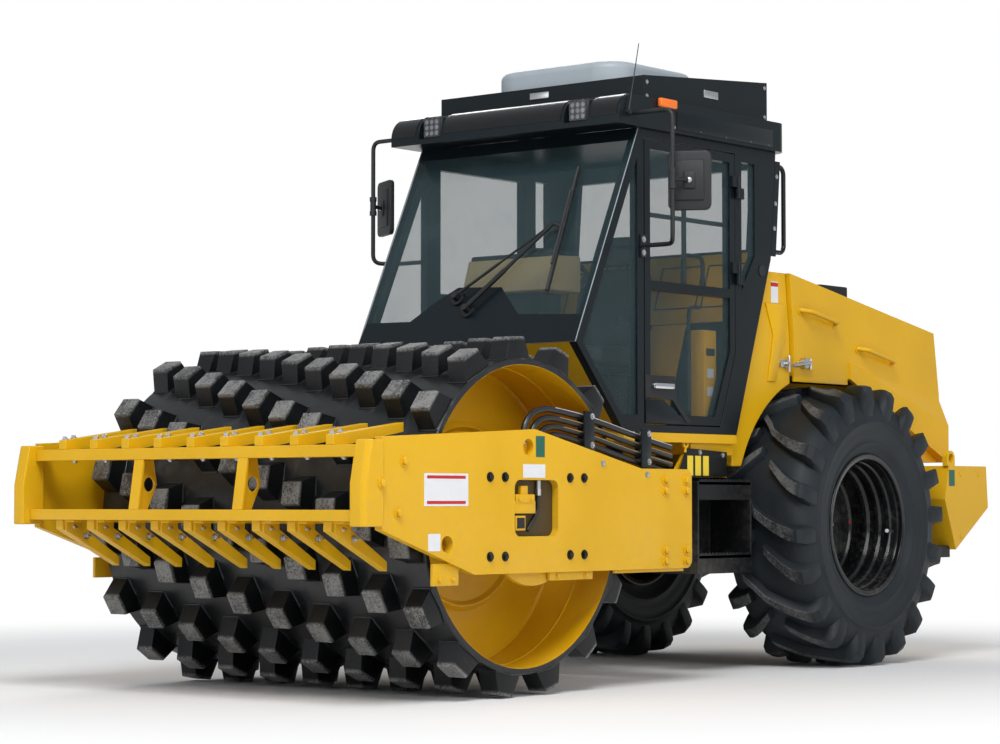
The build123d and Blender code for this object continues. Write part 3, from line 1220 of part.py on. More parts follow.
def hose_clamp(place):
    """Upright strip at the hoses' outer side, standing on the side plate's edge."""
    x = on_drum(place)
    low = plate_top_z(x - CLAMP_HALF)
    clamp = box(x - CLAMP_HALF, x + CLAMP_HALF, PLATE_Y + BITE, PLATE_Y + CLAMP_THICK, low, low + CLAMP_TALL)
    edge = [(DRUM_X + PLATE_CREST, PLATE_TOP_CREST), (on_drum(PLATE_SHOULDER), PLATE_TOP_BACK),
            (CROSS_BACK, PLATE_TOP_BACK), (CROSS_BACK, PLATE_LOW_BACK), (DRUM_X, PLATE_LOW_BACK)]
    return clamp - slab(edge, PLATE_Y, PLATE_OUT)


def hoses():
    shapes = [hose(row) for row in range(HOSE_COUNT)] + [hose_clamp(place) for place in CLAMP_PLACES]
    return Compound(children=shapes)


os.makedirs("parts", exist_ok=True)
pieces = {
    "side_plate_left": side_plate(),
    "side_plate_right": mirrored(side_plate()),
    "front_noses": both(front_nose()),
    "front_beam_top": beam(BEAM_TOP_FRONT, BEAM_TOP_LOW, BEAM_TOP_HIGH),
    "front_beam_bottom": beam(BEAM_LOW_FRONT, BEAM_LOW_LOW, BEAM_LOW_HIGH),
    "front_posts": both(front_post()),
    "scrapers_top": upper_scrapers(),
    "scrapers_bottom": lower_scrapers(),
    "cross_member": cross_member(),
    "steering_tongue": steering_tongue(),
    "drum_carriers": both(drum_carrier()),
    "drive_hoses": hoses(),
    "drum": drum(),
    "steer_barrel_left": ram_barrel(1),
    "steer_barrel_right": ram_barrel(-1),
    "steer_rod_left": ram_rod(1),
    "steer_rod_right": ram_rod(-1),
    "hitch_block": hitch_block(),
    "frame_rails": rails(),
    "cross_plates": cross_plates(),
    "rear_axle": rear_axle(),
    "tyre_left": tyre(1),
    "tyre_right": tyre(-1),
    "rim_left": rim(1),
    "rim_right": rim(-1),
    "counterweight": counterweight(),
    "tail_blocks": both(tail_block()),
    "cab_mounts": cab_mounts(),
    "access_steps": both(steps()),
    "cab_floor": cab_floor(),
    "cab_front_panel": cab_front_panel(),
    "cab_side_left": cab_side(1, True),
    "cab_side_right": cab_side(-1, False),
    "cab_back": cab_back(),
    "windscreen": windscreen(),
    "cab_glass": cab_glass(),
    "roof": roof(),
    "roof_cooler": cooler(),
    "roof_lamps": lamps(),
    "antenna": antenna(),
    "mirrors": both(mirror_arm()),
    "grab_rails": both(grab_rail()),
    "door_hinges": hinge_posts(),
    "operator_seat": seat(),
    "steering_stand": steering_stand(),
    "tank": tank(),
    "engine_block": engine(),
    "bay_walls": bay_walls(),
    "hood": hood(),
    "exhaust_outlet": exhaust(),
    "rear_grille": rear_grille(),
    "cab_door": door(),
    "door_glass": door_glass(),
}
for name, piece in pieces.items():
    export_step(piece, f"parts/{name}.step")
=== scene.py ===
"""Soil compactor with a padfoot drum: its looks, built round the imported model."""
import json
from math import cos, pi, radians, sin

import bmesh
import bpy
from mathutils import Matrix, Vector


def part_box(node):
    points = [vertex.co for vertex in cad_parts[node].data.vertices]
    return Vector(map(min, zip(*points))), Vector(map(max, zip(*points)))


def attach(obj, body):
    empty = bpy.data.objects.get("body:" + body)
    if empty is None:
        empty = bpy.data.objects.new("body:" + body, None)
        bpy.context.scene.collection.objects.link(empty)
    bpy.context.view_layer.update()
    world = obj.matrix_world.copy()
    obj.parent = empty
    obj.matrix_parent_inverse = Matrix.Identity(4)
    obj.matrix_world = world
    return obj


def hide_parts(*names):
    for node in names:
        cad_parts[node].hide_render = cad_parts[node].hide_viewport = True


bl_info = {
    "name": "Soil Compactor",
    "version": (1, 0, 0),
    "blender": (4, 5, 0),
    "location": "3D View > Sidebar > Compactor",
    "description": "Builds a single drum soil compactor round its packed model",
    "category": "Object",
}

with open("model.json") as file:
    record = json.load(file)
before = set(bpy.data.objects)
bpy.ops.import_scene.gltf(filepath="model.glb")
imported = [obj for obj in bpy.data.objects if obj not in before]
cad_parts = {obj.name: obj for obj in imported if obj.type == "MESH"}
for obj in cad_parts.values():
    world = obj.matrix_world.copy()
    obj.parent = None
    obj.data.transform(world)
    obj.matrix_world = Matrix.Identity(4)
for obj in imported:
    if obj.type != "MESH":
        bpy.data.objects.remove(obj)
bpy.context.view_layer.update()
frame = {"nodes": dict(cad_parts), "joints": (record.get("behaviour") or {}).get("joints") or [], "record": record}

RECORD = frame["record"]
SLOTS = {row["node"]: row["material_slot"] for row in RECORD["subparts"]}
BODIES = {node: body for body, nodes in RECORD["behaviour"]["bodies"].items() for node in nodes}
JOINTS = {joint["name"]: joint for joint in frame["joints"]}

DRUM = Vector(JOINTS["drum_spin"]["pos_m"])          # middle of the drum's axis
AXLE = Vector((JOINTS["wheel_left_spin"]["pos_m"][0], 0, JOINTS["wheel_left_spin"]["pos_m"][2]))
PLATE_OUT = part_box("side_plate_left")[1].y           # outer face of a side plate
CAB_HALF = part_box("cab_side_left")[1].y              # outer face of a cab wall
HOOD_HALF = 0.72
TANK_HALF = 0.700
LEFT = (0, 1, 0)                                      # outwards on the left side
SIDES = ("left", "right")


def behind(distance):
    """X of a station that lies so far behind the drum's axis."""
    return DRUM.x - distance


# ---- Sizes and colours that a user may change

class CompactorColours(bpy.types.PropertyGroup):
    """Base colours of the machine's finishes."""
    yellow: bpy.props.FloatVectorProperty(
        name="Yellow", description="Paint of frame, hood and tank", size=3, subtype="COLOR",
        default=(0.690, 0.388, 0.005), min=0, max=1)
    slate: bpy.props.FloatVectorProperty(
        name="Cab slate", description="Paint of the cab", size=3, subtype="COLOR",
        default=(0.0055, 0.0095, 0.0125), min=0, max=1)
    black: bpy.props.FloatVectorProperty(
        name="Black", description="Black paint and mouldings", size=3, subtype="COLOR",
        default=(0.0055, 0.0065, 0.0075), min=0, max=1)
    rubber: bpy.props.FloatVectorProperty(
        name="Rubber", description="Tyres", size=3, subtype="COLOR",
        default=(0.010, 0.0145, 0.0185), min=0, max=1)
    worn: bpy.props.FloatVectorProperty(
        name="Worn", description="Bare pad tips and scuffed lugs", size=3, subtype="COLOR",
        default=(0.21, 0.21, 0.203), min=0, max=1)


class CompactorSizes(bpy.types.PropertyGroup):
    """Small sizes of the machine's details."""
    plate_edge: bpy.props.FloatProperty(
        name="Plate edge", description="Rounding of cut plates", default=0.003, min=0, unit="LENGTH")
    panel_edge: bpy.props.FloatProperty(
        name="Panel edge", description="Rounding of folded panels", default=0.008, min=0, unit="LENGTH")
    pad_edge: bpy.props.FloatProperty(
        name="Pad edge", description="Rounding of the drum's pads", default=0.004, min=0, unit="LENGTH")
    lug_edge: bpy.props.FloatProperty(
        name="Lug edge", description="Rounding of the tyre lugs' crowns", default=0.006, min=0, unit="LENGTH")
    bolt: bpy.props.FloatProperty(
        name="Bolt", description="Radius of a frame bolt's head", default=0.019, min=0, unit="LENGTH")
    steps: bpy.props.IntProperty(
        name="Steps round", description="Flats of drum, tyres and rims", default=120, min=24, max=360)


# ---- Finishes

class Signal:
    """A socket of a material's nodes that works in sums like a number."""

    def __init__(self, tree, socket):
        self.tree, self.socket = tree, socket

    def node(self, kind, settings, sockets, out=0):
        """A node of this kind with its settings, then its sockets; gives back one of its outputs."""
        made = self.tree.nodes.new("ShaderNode" + kind)
        for name, value in settings.items():
            setattr(made, name, value)
        for name, value in sockets.items():
            target = made.inputs[name]
            if isinstance(value, Signal):
                self.tree.links.new(value.socket, target)
            elif target.type == "RGBA":
                target.default_value = (*value, 1)
            else:
                target.default_value = value
        return Signal(self.tree, made.outputs[out])

    def ends_at(self, kind):
        """Leads to the surface of an output node of this kind."""
        output = self.tree.nodes.new("ShaderNode" + kind)
        self.tree.links.new(self.socket, output.inputs["Surface"])

    def sum(self, operation, first, second):
        return self.node("Math", {"operation": operation}, {0: first, 1: second})

    def __add__(self, other):
        return self.sum("ADD", self, other)

    def __radd__(self, other):
        return self.sum("ADD", other, self)

    def __sub__(self, other):
        return self.sum("SUBTRACT", self, other)

    def __rsub__(self, other):
        return self.sum("SUBTRACT", other, self)

    def __mul__(self, other):
        return self.sum("MULTIPLY", self, other)

    def __rmul__(self, other):
        return self.sum("MULTIPLY", other, self)


def noise(place, scale, detail=2.0, rough=0.5):
    return place.node("TexNoise", {}, {"Vector": place, "Scale": scale, "Detail": detail, "Roughness": rough})


def rise(signal, low, high):
    """0 below low, 1 above high, and a smooth rise between."""
    return signal.node("MapRange", {"interpolation_type": "SMOOTHSTEP"},
                       {"Value": signal, "From Min": low, "From Max": high})


def mixed(mask, first, second):
    """The first colour where the mask is 0 and the second where it is 1."""
    return mask.node("Mix", {"data_type": "RGBA"}, {0: mask, 6: first, 7: second}, out=2)


def bumps(height, depth):
    return height.node("Bump", {}, {"Height": height, "Distance": depth})


def shade(colour, factor):
    return tuple(min(1.0, part * factor) for part in colour)


def radius_from(place, centre):
    """Distance from an axis along Y through the centre."""
    shifted = place.node("VectorMath", {"operation": "SUBTRACT"}, {0: place, 1: tuple(centre)})
    flat = place.node("VectorMath", {"operation": "MULTIPLY"}, {0: shifted, 1: (1, 0, 1)})
    return place.node("VectorMath", {"operation": "LENGTH"}, {0: flat}, out=1)


def height_of(place):
    return place.node("SeparateXYZ", {}, {"Vector": place}, out=2)


def paint(place, colour, roughness, coat=0.08, cloud=0.05, shine=0.28):
    """Sprayed paint: faint clouds in colour and gloss, fine orange peel and a little dust low down."""
    patch = noise(place, 2.2, 3)
    fine = noise(place, 34, 2)
    low_dust = (1 - rise(height_of(place), 0.3, 1.5)) * rise(patch * 0.6 + fine * 0.4, 0.42, 0.7)
    tone = mixed(rise(patch, 0.3, 0.7), shade(colour, 1 - cloud), shade(colour, 1 + cloud))
    dusty = mixed(low_dust * 0.16, tone, (0.32, 0.28, 0.22))
    return {"Base Color": dusty, "Roughness": roughness + 0.09 * (fine - 0.5) + 0.12 * low_dust,
            "Specular IOR Level": shine, "Coat Weight": coat, "Coat Roughness": 0.12,
            "Normal": bumps(noise(place, 210, 1), 0.0004)}


def painted(name, *values):
    """Sprayed paint in one of the user's colours."""
    return lambda place, colours: paint(place, getattr(colours, name), *values)


def drum_steel(place, colours):
    """Black drum paint with scuffs and a film of dust."""
    scuff = rise(noise(place, 9, 5, 0.65), 0.5, 0.72)
    grain = noise(place, 120, 3, 0.6)
    return {"Base Color": mixed(scuff * 0.55, shade(colours.black, 1.1), (0.045, 0.045, 0.046)),
            "Roughness": 0.3 + 0.25 * scuff, "Normal": bumps(grain, 0.0008)}


def pad_steel(place, colours):
    """Black paint on the pads' flanks, rubbed down to speckled grey on their tips and edges."""
    far = radius_from(place, DRUM)
    speck = noise(place, 95, 4, 0.75)
    patch = noise(place, 7, 3, 0.6)
    tip = rise(far, 0.835, 0.852)
    rubbed = rise(speck * 0.65 + patch * 0.35, 0.40, 0.58)
    flank = rise(patch, 0.5, 0.68) * rise(speck, 0.45, 0.7) * 0.5
    bare = tip * (0.12 + 0.88 * rubbed)
    colour = mixed(bare, mixed(flank, shade(colours.black, 0.8), (0.03, 0.03, 0.029)), colours.worn)
    return {"Base Color": colour, "Roughness": 0.3 + 0.26 * bare + 0.12 * flank, "Specular IOR Level": 0.3,
            "Normal": bumps(speck, 0.0016)}


def tyre_rubber(place, colours):
    """Dark rubber, scuffed to speckled grey on the crowns of the lugs."""
    far = radius_from(place, AXLE)
    speck = noise(place, 70, 4, 0.75)
    patch = noise(place, 5, 3, 0.6)
    crown = rise(far, 0.784, 0.7925)
    rubbed = crown * rise(speck * 0.6 + patch * 0.4, 0.38, 0.6)
    base = colours.rubber
    colour = mixed(rubbed * 0.8, mixed(rise(patch, 0.35, 0.7), shade(base, 0.85), shade(base, 1.25)),
                   shade(colours.worn, 0.62))
    return {"Base Color": colour, "Roughness": 0.5 + 0.2 * rubbed + 0.1 * patch, "Specular IOR Level": 0.35,
            "Normal": bumps(speck * 0.6 + noise(place, 240, 2) * 0.4, 0.0016)}


def plain_rubber(place, colours):
    return {"Base Color": mixed(noise(place, 40, 2), (0.009, 0.009, 0.01), (0.016, 0.016, 0.017)),
            "Roughness": 0.24 + 0.12 * noise(place, 25, 2), "Normal": bumps(noise(place, 300, 2), 0.0004)}


def black_moulding(place, colours):
    """Grained black plastic."""
    return {"Base Color": mixed(noise(place, 18, 2), shade(colours.black, 0.9), shade(colours.black, 1.5)),
            "Roughness": 0.48 + 0.1 * noise(place, 60, 2), "Normal": bumps(noise(place, 420, 2), 0.0005)}


def moulding(colour, roughness=0.45):
    """Plain plastic or printed film of one colour, slightly uneven."""
    def build(place, colours):
        return {"Base Color": mixed(noise(place, 14, 3), shade(colour, 0.93), shade(colour, 1.04)),
                "Roughness": roughness + 0.08 * (noise(place, 30, 2) - 0.5),
                "Normal": bumps(noise(place, 350, 2), 0.0003)}
    return build


def metal(colour, roughness):
    """Plated or bare metal with fine wear."""
    def build(place, colours):
        worn = noise(place, 90, 3, 0.6)
        return {"Base Color": mixed(worn, shade(colour, 0.8), colour), "Metallic": 1.0,
                "Roughness": roughness + 0.14 * (worn - 0.4)}
    return build


def cast_iron(place, colours):
    return {"Base Color": mixed(noise(place, 30, 4), (0.03, 0.03, 0.03), (0.07, 0.068, 0.065)),
            "Roughness": 0.62, "Normal": bumps(noise(place, 160, 3), 0.001)}


def vinyl(place, colours):
    """Grained black seat cover."""
    grain = place.node("TexVoronoi", {"feature": "DISTANCE_TO_EDGE"}, {"Vector": place, "Scale": 260.0})
    return {"Base Color": mixed(noise(place, 12, 2), (0.012, 0.012, 0.013), (0.022, 0.022, 0.024)),
            "Roughness": 0.46 + 0.1 * noise(place, 20, 2), "Normal": bumps(rise(grain, 0.0, 0.12), 0.0004)}


def glass(colour, alpha):
    """Thin clear glass or lens with a trace of dust."""
    def build(place, colours):
        film = rise(noise(place, 3.5, 4, 0.6), 0.45, 0.75)
        return {"Base Color": mixed(film, colour, shade(colour, 1.25)), "Roughness": 0.03 + 0.08 * film,
                "Alpha": alpha + 0.03 * film, "IOR": 1.5}
    return build


RECIPES = {
    "yellow_paint": painted("yellow", 0.36), "black_paint": painted("black", 0.42, 0.05, 0.15),
    "cab_paint": painted("slate", 0.3, 0.08, 0.08, 0.2), "rim_paint": painted("black", 0.2, 0.3, 0.1),
    "drum_steel": drum_steel, "pad_steel": pad_steel, "tyre": tyre_rubber, "rubber_hose": plain_rubber,
    "black_plastic": black_moulding, "seat_vinyl": vinyl, "cast_block": cast_iron,
    "chrome_rod": metal((0.75, 0.76, 0.78), 0.16), "zinc": metal((0.62, 0.63, 0.64), 0.32),
    # painted shade: dark brown standing in for shaded yellow surfaces behind the side plates' windows
    "shaded_steel": moulding((0.060, 0.036, 0.006), 0.6),
    "glass": glass((0.045, 0.080, 0.090), 0.25), "lamp_glass": glass((0.10, 0.10, 0.11), 0.35),
    "pale_plastic": moulding((0.31, 0.355, 0.39)), "beige_plastic": moulding((0.42, 0.34, 0.17), 0.5),
    "amber": moulding((0.85, 0.17, 0.012), 0.18), "red": moulding((0.5, 0.012, 0.012), 0.4),
    "white_film": moulding((0.72, 0.73, 0.75), 0.35), "green_film": moulding((0.008, 0.11, 0.07), 0.35),
    "yellow_film": moulding((0.85, 0.62, 0.03), 0.35), "tan_print": moulding((0.45, 0.3, 0.12), 0.4),
    "mirror": metal((0.8, 0.82, 0.84), 0.04),
}


def new_material(name):
    """A new material, and the place on the object as the first signal of its nodes."""
    made = bpy.data.materials.new(name)
    made.use_nodes = True
    tree = made.node_tree
    tree.nodes.clear()
    return made, Signal(tree, tree.nodes.new("ShaderNodeTexCoord").outputs["Object"])


def finish(name):
    """The material of this name, made when it is first asked for."""
    made = bpy.data.materials.get("finish_" + name)
    if not made:
        made, place = new_material("finish_" + name)
        look = RECIPES[name](place, bpy.context.scene.compactor_colours)
        place.node("BsdfPrincipled", {}, look).ends_at("OutputMaterial")
    return made


# ---- Shapes: each draws into a mesh, on the left side of the machine where there are two

def block(bm, low, high):
    """A block between two opposite corners."""
    low, high = Vector(low), Vector(high)
    place = Matrix.Translation((low + high) / 2) @ Matrix.Diagonal((*(high - low), 1))
    bmesh.ops.create_cube(bm, size=1, matrix=place)


def along(start, end):
    """The placing that lays a shape's Z axis from start to end, with its middle halfway."""
    start, end = Vector(start), Vector(end)
    turn = Vector((0, 0, 1)).rotation_difference(end - start).to_matrix().to_4x4()
    return Matrix.Translation((start + end) / 2) @ turn


def rod(bm, start, end, radius, segments=24, far_radius=None):
    """A round bar, or a cone where the far radius differs."""
    far = radius if far_radius is None else far_radius
    bmesh.ops.create_cone(bm, cap_ends=True, segments=segments, radius1=radius, radius2=far,
                          depth=(Vector(end) - Vector(start)).length, matrix=along(start, end))


def bolt(bm, at, out, radius, tall=None):
    """A hexagon head on its washer."""
    at, out = Vector(at), Vector(out).normalized()
    tall = tall or radius * 0.9
    rod(bm, at - out * 0.002, at + out * tall * 0.25, radius * 1.45, 20)
    rod(bm, at, at + out * tall * 0.9, radius, 6)
    rod(bm, at + out * tall * 0.9, at + out * tall, radius, 6, radius * 0.82)


def slab(bm, outline, way):
    """A flat plate: its outline, drawn along the given way."""
    face = bm.faces.new([bm.verts.new(point) for point in outline])
    grown = bmesh.ops.extrude_face_region(bm, geom=[face])["geom"]
    bmesh.ops.translate(bm, vec=way, verts=[part for part in grown if isinstance(part, bmesh.types.BMVert)])


def turned(bm, outline, centre, steps, closed=True, angle=2 * pi, start=0.0):
    """A ring about a Y axis through the centre, from an outline of (y, radius) corners."""
    verts = [bm.verts.new((centre[0] + r * cos(start), y, centre[2] + r * sin(start))) for y, r in outline]
    pairs = list(zip(verts, verts[1:])) + ([(verts[-1], verts[0])] if closed else [])
    edges = [bm.edges.new(pair) for pair in pairs]
    full = angle > 6.2
    bmesh.ops.spin(bm, geom=verts + edges, axis=(0, -1, 0), cent=(centre[0], 0, centre[2]), angle=angle,
                   steps=steps, use_merge=full)
    if not full:
        bmesh.ops.holes_fill(bm, edges=[edge for edge in bm.edges if edge.is_boundary])


def bent_bar(bm, points, radius, bend, segments=16, turns=6):
    """A round bar along runs that meet in arcs: rings carried along and joined."""
    points = [Vector(point) for point in points]
    centres = [points[0]]
    for before, corner, after in zip(points, points[1:], points[2:]):
        into, out = (corner - before).normalized(), (after - corner).normalized()
        sweep = into.angle(out)
        reach = bend * abs(sin(sweep / 2) / cos(sweep / 2))
        a, b = corner - into * reach, corner + out * reach
        for i in range(turns + 1):
            t = i / turns
            centres.append((1 - t) ** 2 * a + 2 * t * (1 - t) * corner + t * t * b)
    centres.append(points[-1])
    ends = (0, len(centres) - 1)
    last, spin, rings = Vector((0, 0, 1)), Matrix.Identity(3), []
    for i, centre in enumerate(centres):
        way = centres[min(i + 1, ends[1])] - centres[max(i - 1, 0)]
        spin = last.rotation_difference(way).to_matrix() @ spin
        last = way
        rings.append(bmesh.ops.create_circle(bm, segments=segments, radius=radius, cap_ends=i in ends,
                                             matrix=Matrix.Translation(centre) @ spin.to_4x4())["verts"])
    for pair in zip(rings, rings[1:]):
        bmesh.ops.bridge_loops(bm, edges=list({edge for ring in pair for vert in ring for edge in vert.link_edges
                                               if edge.other_vert(vert) in ring}))


def laid(bm, place, *shapes):
    """Shapes drawn about the origin and then laid at their place."""
    start = len(bm.verts)
    draw(bm, shapes)
    bm.verts.ensure_lookup_table()
    bmesh.ops.transform(bm, matrix=place, verts=bm.verts[start:])


def on_circle(centre, radius, degrees, y):
    """A point on a circle about a Y axis through the centre."""
    return Vector((centre[0] + radius * cos(radians(degrees)), y, centre[2] + radius * sin(radians(degrees))))


def everything(bm):
    return bm.verts[:] + bm.edges[:] + bm.faces[:]


def bevelled(bm, edges, width, segments, clamp=False):
    """Rounds these edges."""
    bmesh.ops.bevel(bm, geom=edges, offset=width, offset_type="OFFSET", affect="EDGES", segments=segments,
                    profile=0.5, material=-1, clamp_overlap=clamp)


def soften(bm, width, segments=2, angle=28):
    """Rounds the edges sharper than the angle."""
    if width > 0:
        bevelled(bm, [edge for edge in bm.edges if edge.is_manifold and edge.calc_face_angle(0) > radians(angle)],
                 width, segments, True)


# ---- Pieces

def kept(bm, name):
    """The shapes as a mesh to copy from or to show."""
    mesh = bpy.data.meshes.new(name)
    bm.to_mesh(mesh)
    bm.free()
    return mesh


def piece(name, bm, look, slot=None, body="rear_frame", replaces=(), smooth=35, side=None):
    """Makes a finished mesh of the shapes, mirrored for the right side, with its finish and body. The slot is not
    used.
    """
    if not bm.faces:
        raise RuntimeError(f"{name} has no faces")
    if side:
        name = f"{name}_{side}"
    if side == "right":
        bmesh.ops.scale(bm, vec=(1, -1, 1), verts=bm.verts)
    bmesh.ops.remove_doubles(bm, verts=bm.verts, dist=1e-5)
    bmesh.ops.recalc_face_normals(bm, faces=bm.faces)
    mesh = kept(bm, name)
    mesh.polygons.foreach_set("use_smooth", [True] * len(mesh.polygons))
    mesh.set_sharp_from_angle(angle=radians(smooth))
    mesh.materials.append(finish(look))
    made = bpy.data.objects.new(name, mesh)
    bpy.context.scene.collection.objects.link(made)
    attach(made, body)
    if replaces:
        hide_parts(*replaces)
    return made


def draw(bm, shapes):
    """Draws rows of a shape and its values."""
    for shape, *values in shapes:
        shape(bm, *values)


def drawn(name, look, shapes, slot=None, body="rear_frame", side=None, edge=0.0, segments=2, angle=28,
          both=(), after=(), **more):
    """A piece of shapes. Those in both stand on the left and the right, those in after keep sharp edges."""
    bm = bmesh.new()
    draw(bm, both)
    if both:
        bmesh.ops.mirror(bm, geom=everything(bm), merge_dist=0, axis="Y")
        bmesh.ops.recalc_face_normals(bm, faces=bm.faces)
    draw(bm, shapes)
    soften(bm, edge, segments, angle)
    draw(bm, after)
    return piece(name, bm, look, slot, body, side=side, **more)


def bevel_flats(made):
    """Keeps flat faces flat beside their rounded edges."""
    made.modifiers.new("flat_faces", "WEIGHTED_NORMAL").keep_sharp = True


def copied(node):
    """A merged copy of a CAD node's mesh, its flat faces made whole."""
    if node not in frame["nodes"]:
        raise RuntimeError(f"the packed model has no node named {node}")
    bm = bmesh.new()
    bm.from_mesh(frame["nodes"][node].data)
    bmesh.ops.remove_doubles(bm, verts=bm.verts, dist=1e-5)
    bmesh.ops.dissolve_limit(bm, angle_limit=radians(0.6), verts=bm.verts, edges=bm.edges)
    return bm


def edged(node, width, look=None):
    """A CAD node's own shape with rounded edges, in place of the node."""
    bm = copied(node)
    soften(bm, width)
    made = piece(node + "_shown", bm, look or SLOTS[node], SLOTS[node], BODIES[node], (node,))
    bevel_flats(made)
    return made


def rounded(**widths):
    """The same for several nodes, each with its width of rounding."""
    for node, width in widths.items():
        edged(node, width)


def sizes():
    return bpy.context.scene.compactor_sizes


# ---- Front frame

# columns: X ahead of the drum's axis, height
NOSE_BOLTS = ((0.971, 1.106), (1.010, 0.875))
REAR_BOLTS = tuple((x, z) for x in (-1.016, -1.198) for z in (1.036, 0.980, 0.683, 0.628))
CARRIER_BOLTS = tuple((x, z) for x in (0.368, 0.258, -0.236, -0.347) for z in (1.040, 0.671))
EDGE_BOLTS = ((-0.499, 1.112), (-0.863, 1.060))
# columns: piece, finish, X from, X to, low, high, thickness
PLATE_LABELS = (
    ("rating_label", "white_film", -0.043, 0.124, 1.038, 1.102, 0.0016),
    ("lifting_label", "green_film", -0.040, 0.026, 1.137, 1.236, 0.0016),
    ("tie_label", "white_film", 0.722, 0.806, 0.702, 0.780, 0.0016),
    ("maker_label", "white_film", 0.526, 0.834, 0.905, 1.054, 0.0016),
    ("maker_label_stripe_top", "red", 0.545, 0.815, 1.030, 1.044, 0.0024),
    ("maker_label_stripe_low", "red", 0.545, 0.815, 0.915, 0.929, 0.0024),
)
SCRAPER_PITCH = 0.222


def plate_fittings(side):
    """Bolts and blank labels on a side plate."""
    size = sizes().bolt
    nose = (bolt, (DRUM.x + 1.135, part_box("front_noses")[1].y, 1.007), LEFT, size)
    for name, look, places, radius, more in (
            ("frame_bolts", "yellow_paint", NOSE_BOLTS + REAR_BOLTS, size, [nose]),
            ("carrier_bolts", "black_paint", CARRIER_BOLTS, size * 0.85, []),
            ("edge_bolts", "zinc", EDGE_BOLTS, size * 0.6, [])):
        drawn(name, look, [(bolt, (DRUM.x + x, PLATE_OUT, z), LEFT, radius) for x, z in places] + more,
              "yellow_paint", "front_frame", side)
    for name, look, x0, x1, z0, z1, thick in PLATE_LABELS:
        drawn(name, look, [(block, (DRUM.x + x0, PLATE_OUT, z0), (DRUM.x + x1, PLATE_OUT + thick, z1))],
              "yellow_paint", "front_frame", side)


def window_fittings(side):
    """Valve block, its hose and the recess behind a side plate's window, its back painted dark brown as shade."""
    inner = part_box("side_plate_left")[0].y
    deep, x = inner + 0.003, DRUM.x
    # painted shade: the recess's back is yellow paint, drawn dark brown to stand in for its shadow
    drawn("window_recess", "shaded_steel", [(block, (x - 0.150, inner - 0.001, 0.758), (x + 0.190, deep, 1.032))],
          "yellow_paint", "front_frame", side)
    # columns: X from, X to, low, high, thickness
    steps = ((0.02, 0.18, 0.87, 0.93, 0.030), (0.03, 0.17, 0.92, 0.96, 0.034), (0.07, 0.12, 0.95, 1.0, 0.024),
             (0.09, 0.165, 0.79, 0.86, 0.026))
    screws = [Vector((x + ahead, deep + 0.034, 0.940)) for ahead in (0.055, 0.145)]
    drawn("drum_valve", "yellow_paint",
          [(block, (x + x0, deep, z0), (x + x1, deep + thick, z1)) for x0, x1, z0, z1, thick in steps],
          None, "front_frame", side, 0.003, after=[(bolt, screw, LEFT, 0.013, 0.005) for screw in screws])
    bar = deep + 0.012
    drawn("valve_socket", "black_plastic",
          [(block, (x + 0.100, deep + 0.026, 0.800), (x + 0.155, deep + 0.029, 0.850)),
           *((rod, screw, screw + Vector((0, 0.0045, 0)), 0.007, 12) for screw in screws),
           (bent_bar, [(x - 0.02, bar, 0.985), (x - 0.02, bar, 0.88), (x + 0.06, bar, 0.79)], 0.009, 0.06)],
          None, "front_frame", side)
    x, y = x - 0.020, deep + 0.014
    drawn("valve_pipe", "zinc", [(rod, (x, y, 0.975), (x, y, 1.026), 0.012, 16),
                                 (rod, (x, y, 0.955), (x, y, 0.985), 0.015, 6)], "yellow_paint", "front_frame", side)


def scraper_fittings():
    """Bolts of the scraper bars and the beams."""
    size = sizes().bolt * 0.62
    middles = [(i - 4) * SCRAPER_PITCH for i in range(9)]
    top_box, low_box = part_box("scrapers_top"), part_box("scrapers_bottom")
    beam_top, beam_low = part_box("front_beam_top"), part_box("front_beam_bottom")
    front, under = beam_top[1].x, beam_low[1].x
    drop = (top_box[1].z - beam_top[1].z - 0.045) / (front - top_box[0].x)
    foot, head = Vector((low_box[0].x, 0, low_box[0].z)), Vector((under - 0.03, 0, beam_low[0].z - 0.045))
    spots = [foot.lerp(head, share) + Vector((-0.004, 0, 0.036)) for share in (0.62, 0.86)]
    rows, brackets = [], []
    for y in middles:
        rows += [(bolt, (front - back, y - 0.002, beam_top[1].z + 0.045 + back * drop), (drop, 0, 1), size, 0.016)
                 for back in (0.02, 0.075)]
        rows.append((bolt, (front - 0.03, y + 0.06, beam_top[0].z), (0, 0, -1), size, 0.012))
        for spot in spots:
            rows += [(bolt, (spot.x, y + 0.025, spot.z), LEFT, size, 0.018),
                     (rod, (spot.x, y + 0.04, spot.z), (spot.x, y + 0.058, spot.z), size * 0.5, 12)]
        z = beam_low[0].z
        outline = [(under - 0.035, z), (under - 0.035, z - 0.055), (under - 0.14, z - 0.10), (under - 0.14, z)]
        brackets += [(slab, [(x, y + 0.025, z) for x, z in outline], (0, 0.014, 0)),
                     (block, (under - 0.14, y + 0.02, z - 0.012), (under - 0.03, y + 0.09, z))]
    drawn("scraper_bolts", "zinc", rows, "yellow_paint", "front_frame")
    drawn("scraper_brackets", "yellow_paint", brackets, None, "front_frame", edge=0.002)


def under_plates(side):
    """Brackets and a stiffener under a side plate."""
    x, low, inner = DRUM.x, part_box("side_plate_left")[0].z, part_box("side_plate_left")[0].y
    face = inner + 0.022
    # columns: X from, X to, how far it hangs, where it ends above the plate's foot
    hung = ((0.57, 0.75, 0.047, 0.055), (-0.44, -0.10, 0.040, 0.010), (-1.2, -0.62, 0.016, 0.010))
    drawn("lower_brackets", "yellow_paint",
          [(block, (x + x0, inner + 0.004, low - drop), (x + x1, face, low + up)) for x0, x1, drop, up in hung],
          None, "front_frame", side, 0.003,
          after=[(bolt, (x + ahead, face, low - 0.02), LEFT, 0.011) for ahead in (0.61, 0.71, -0.16, -0.38)])


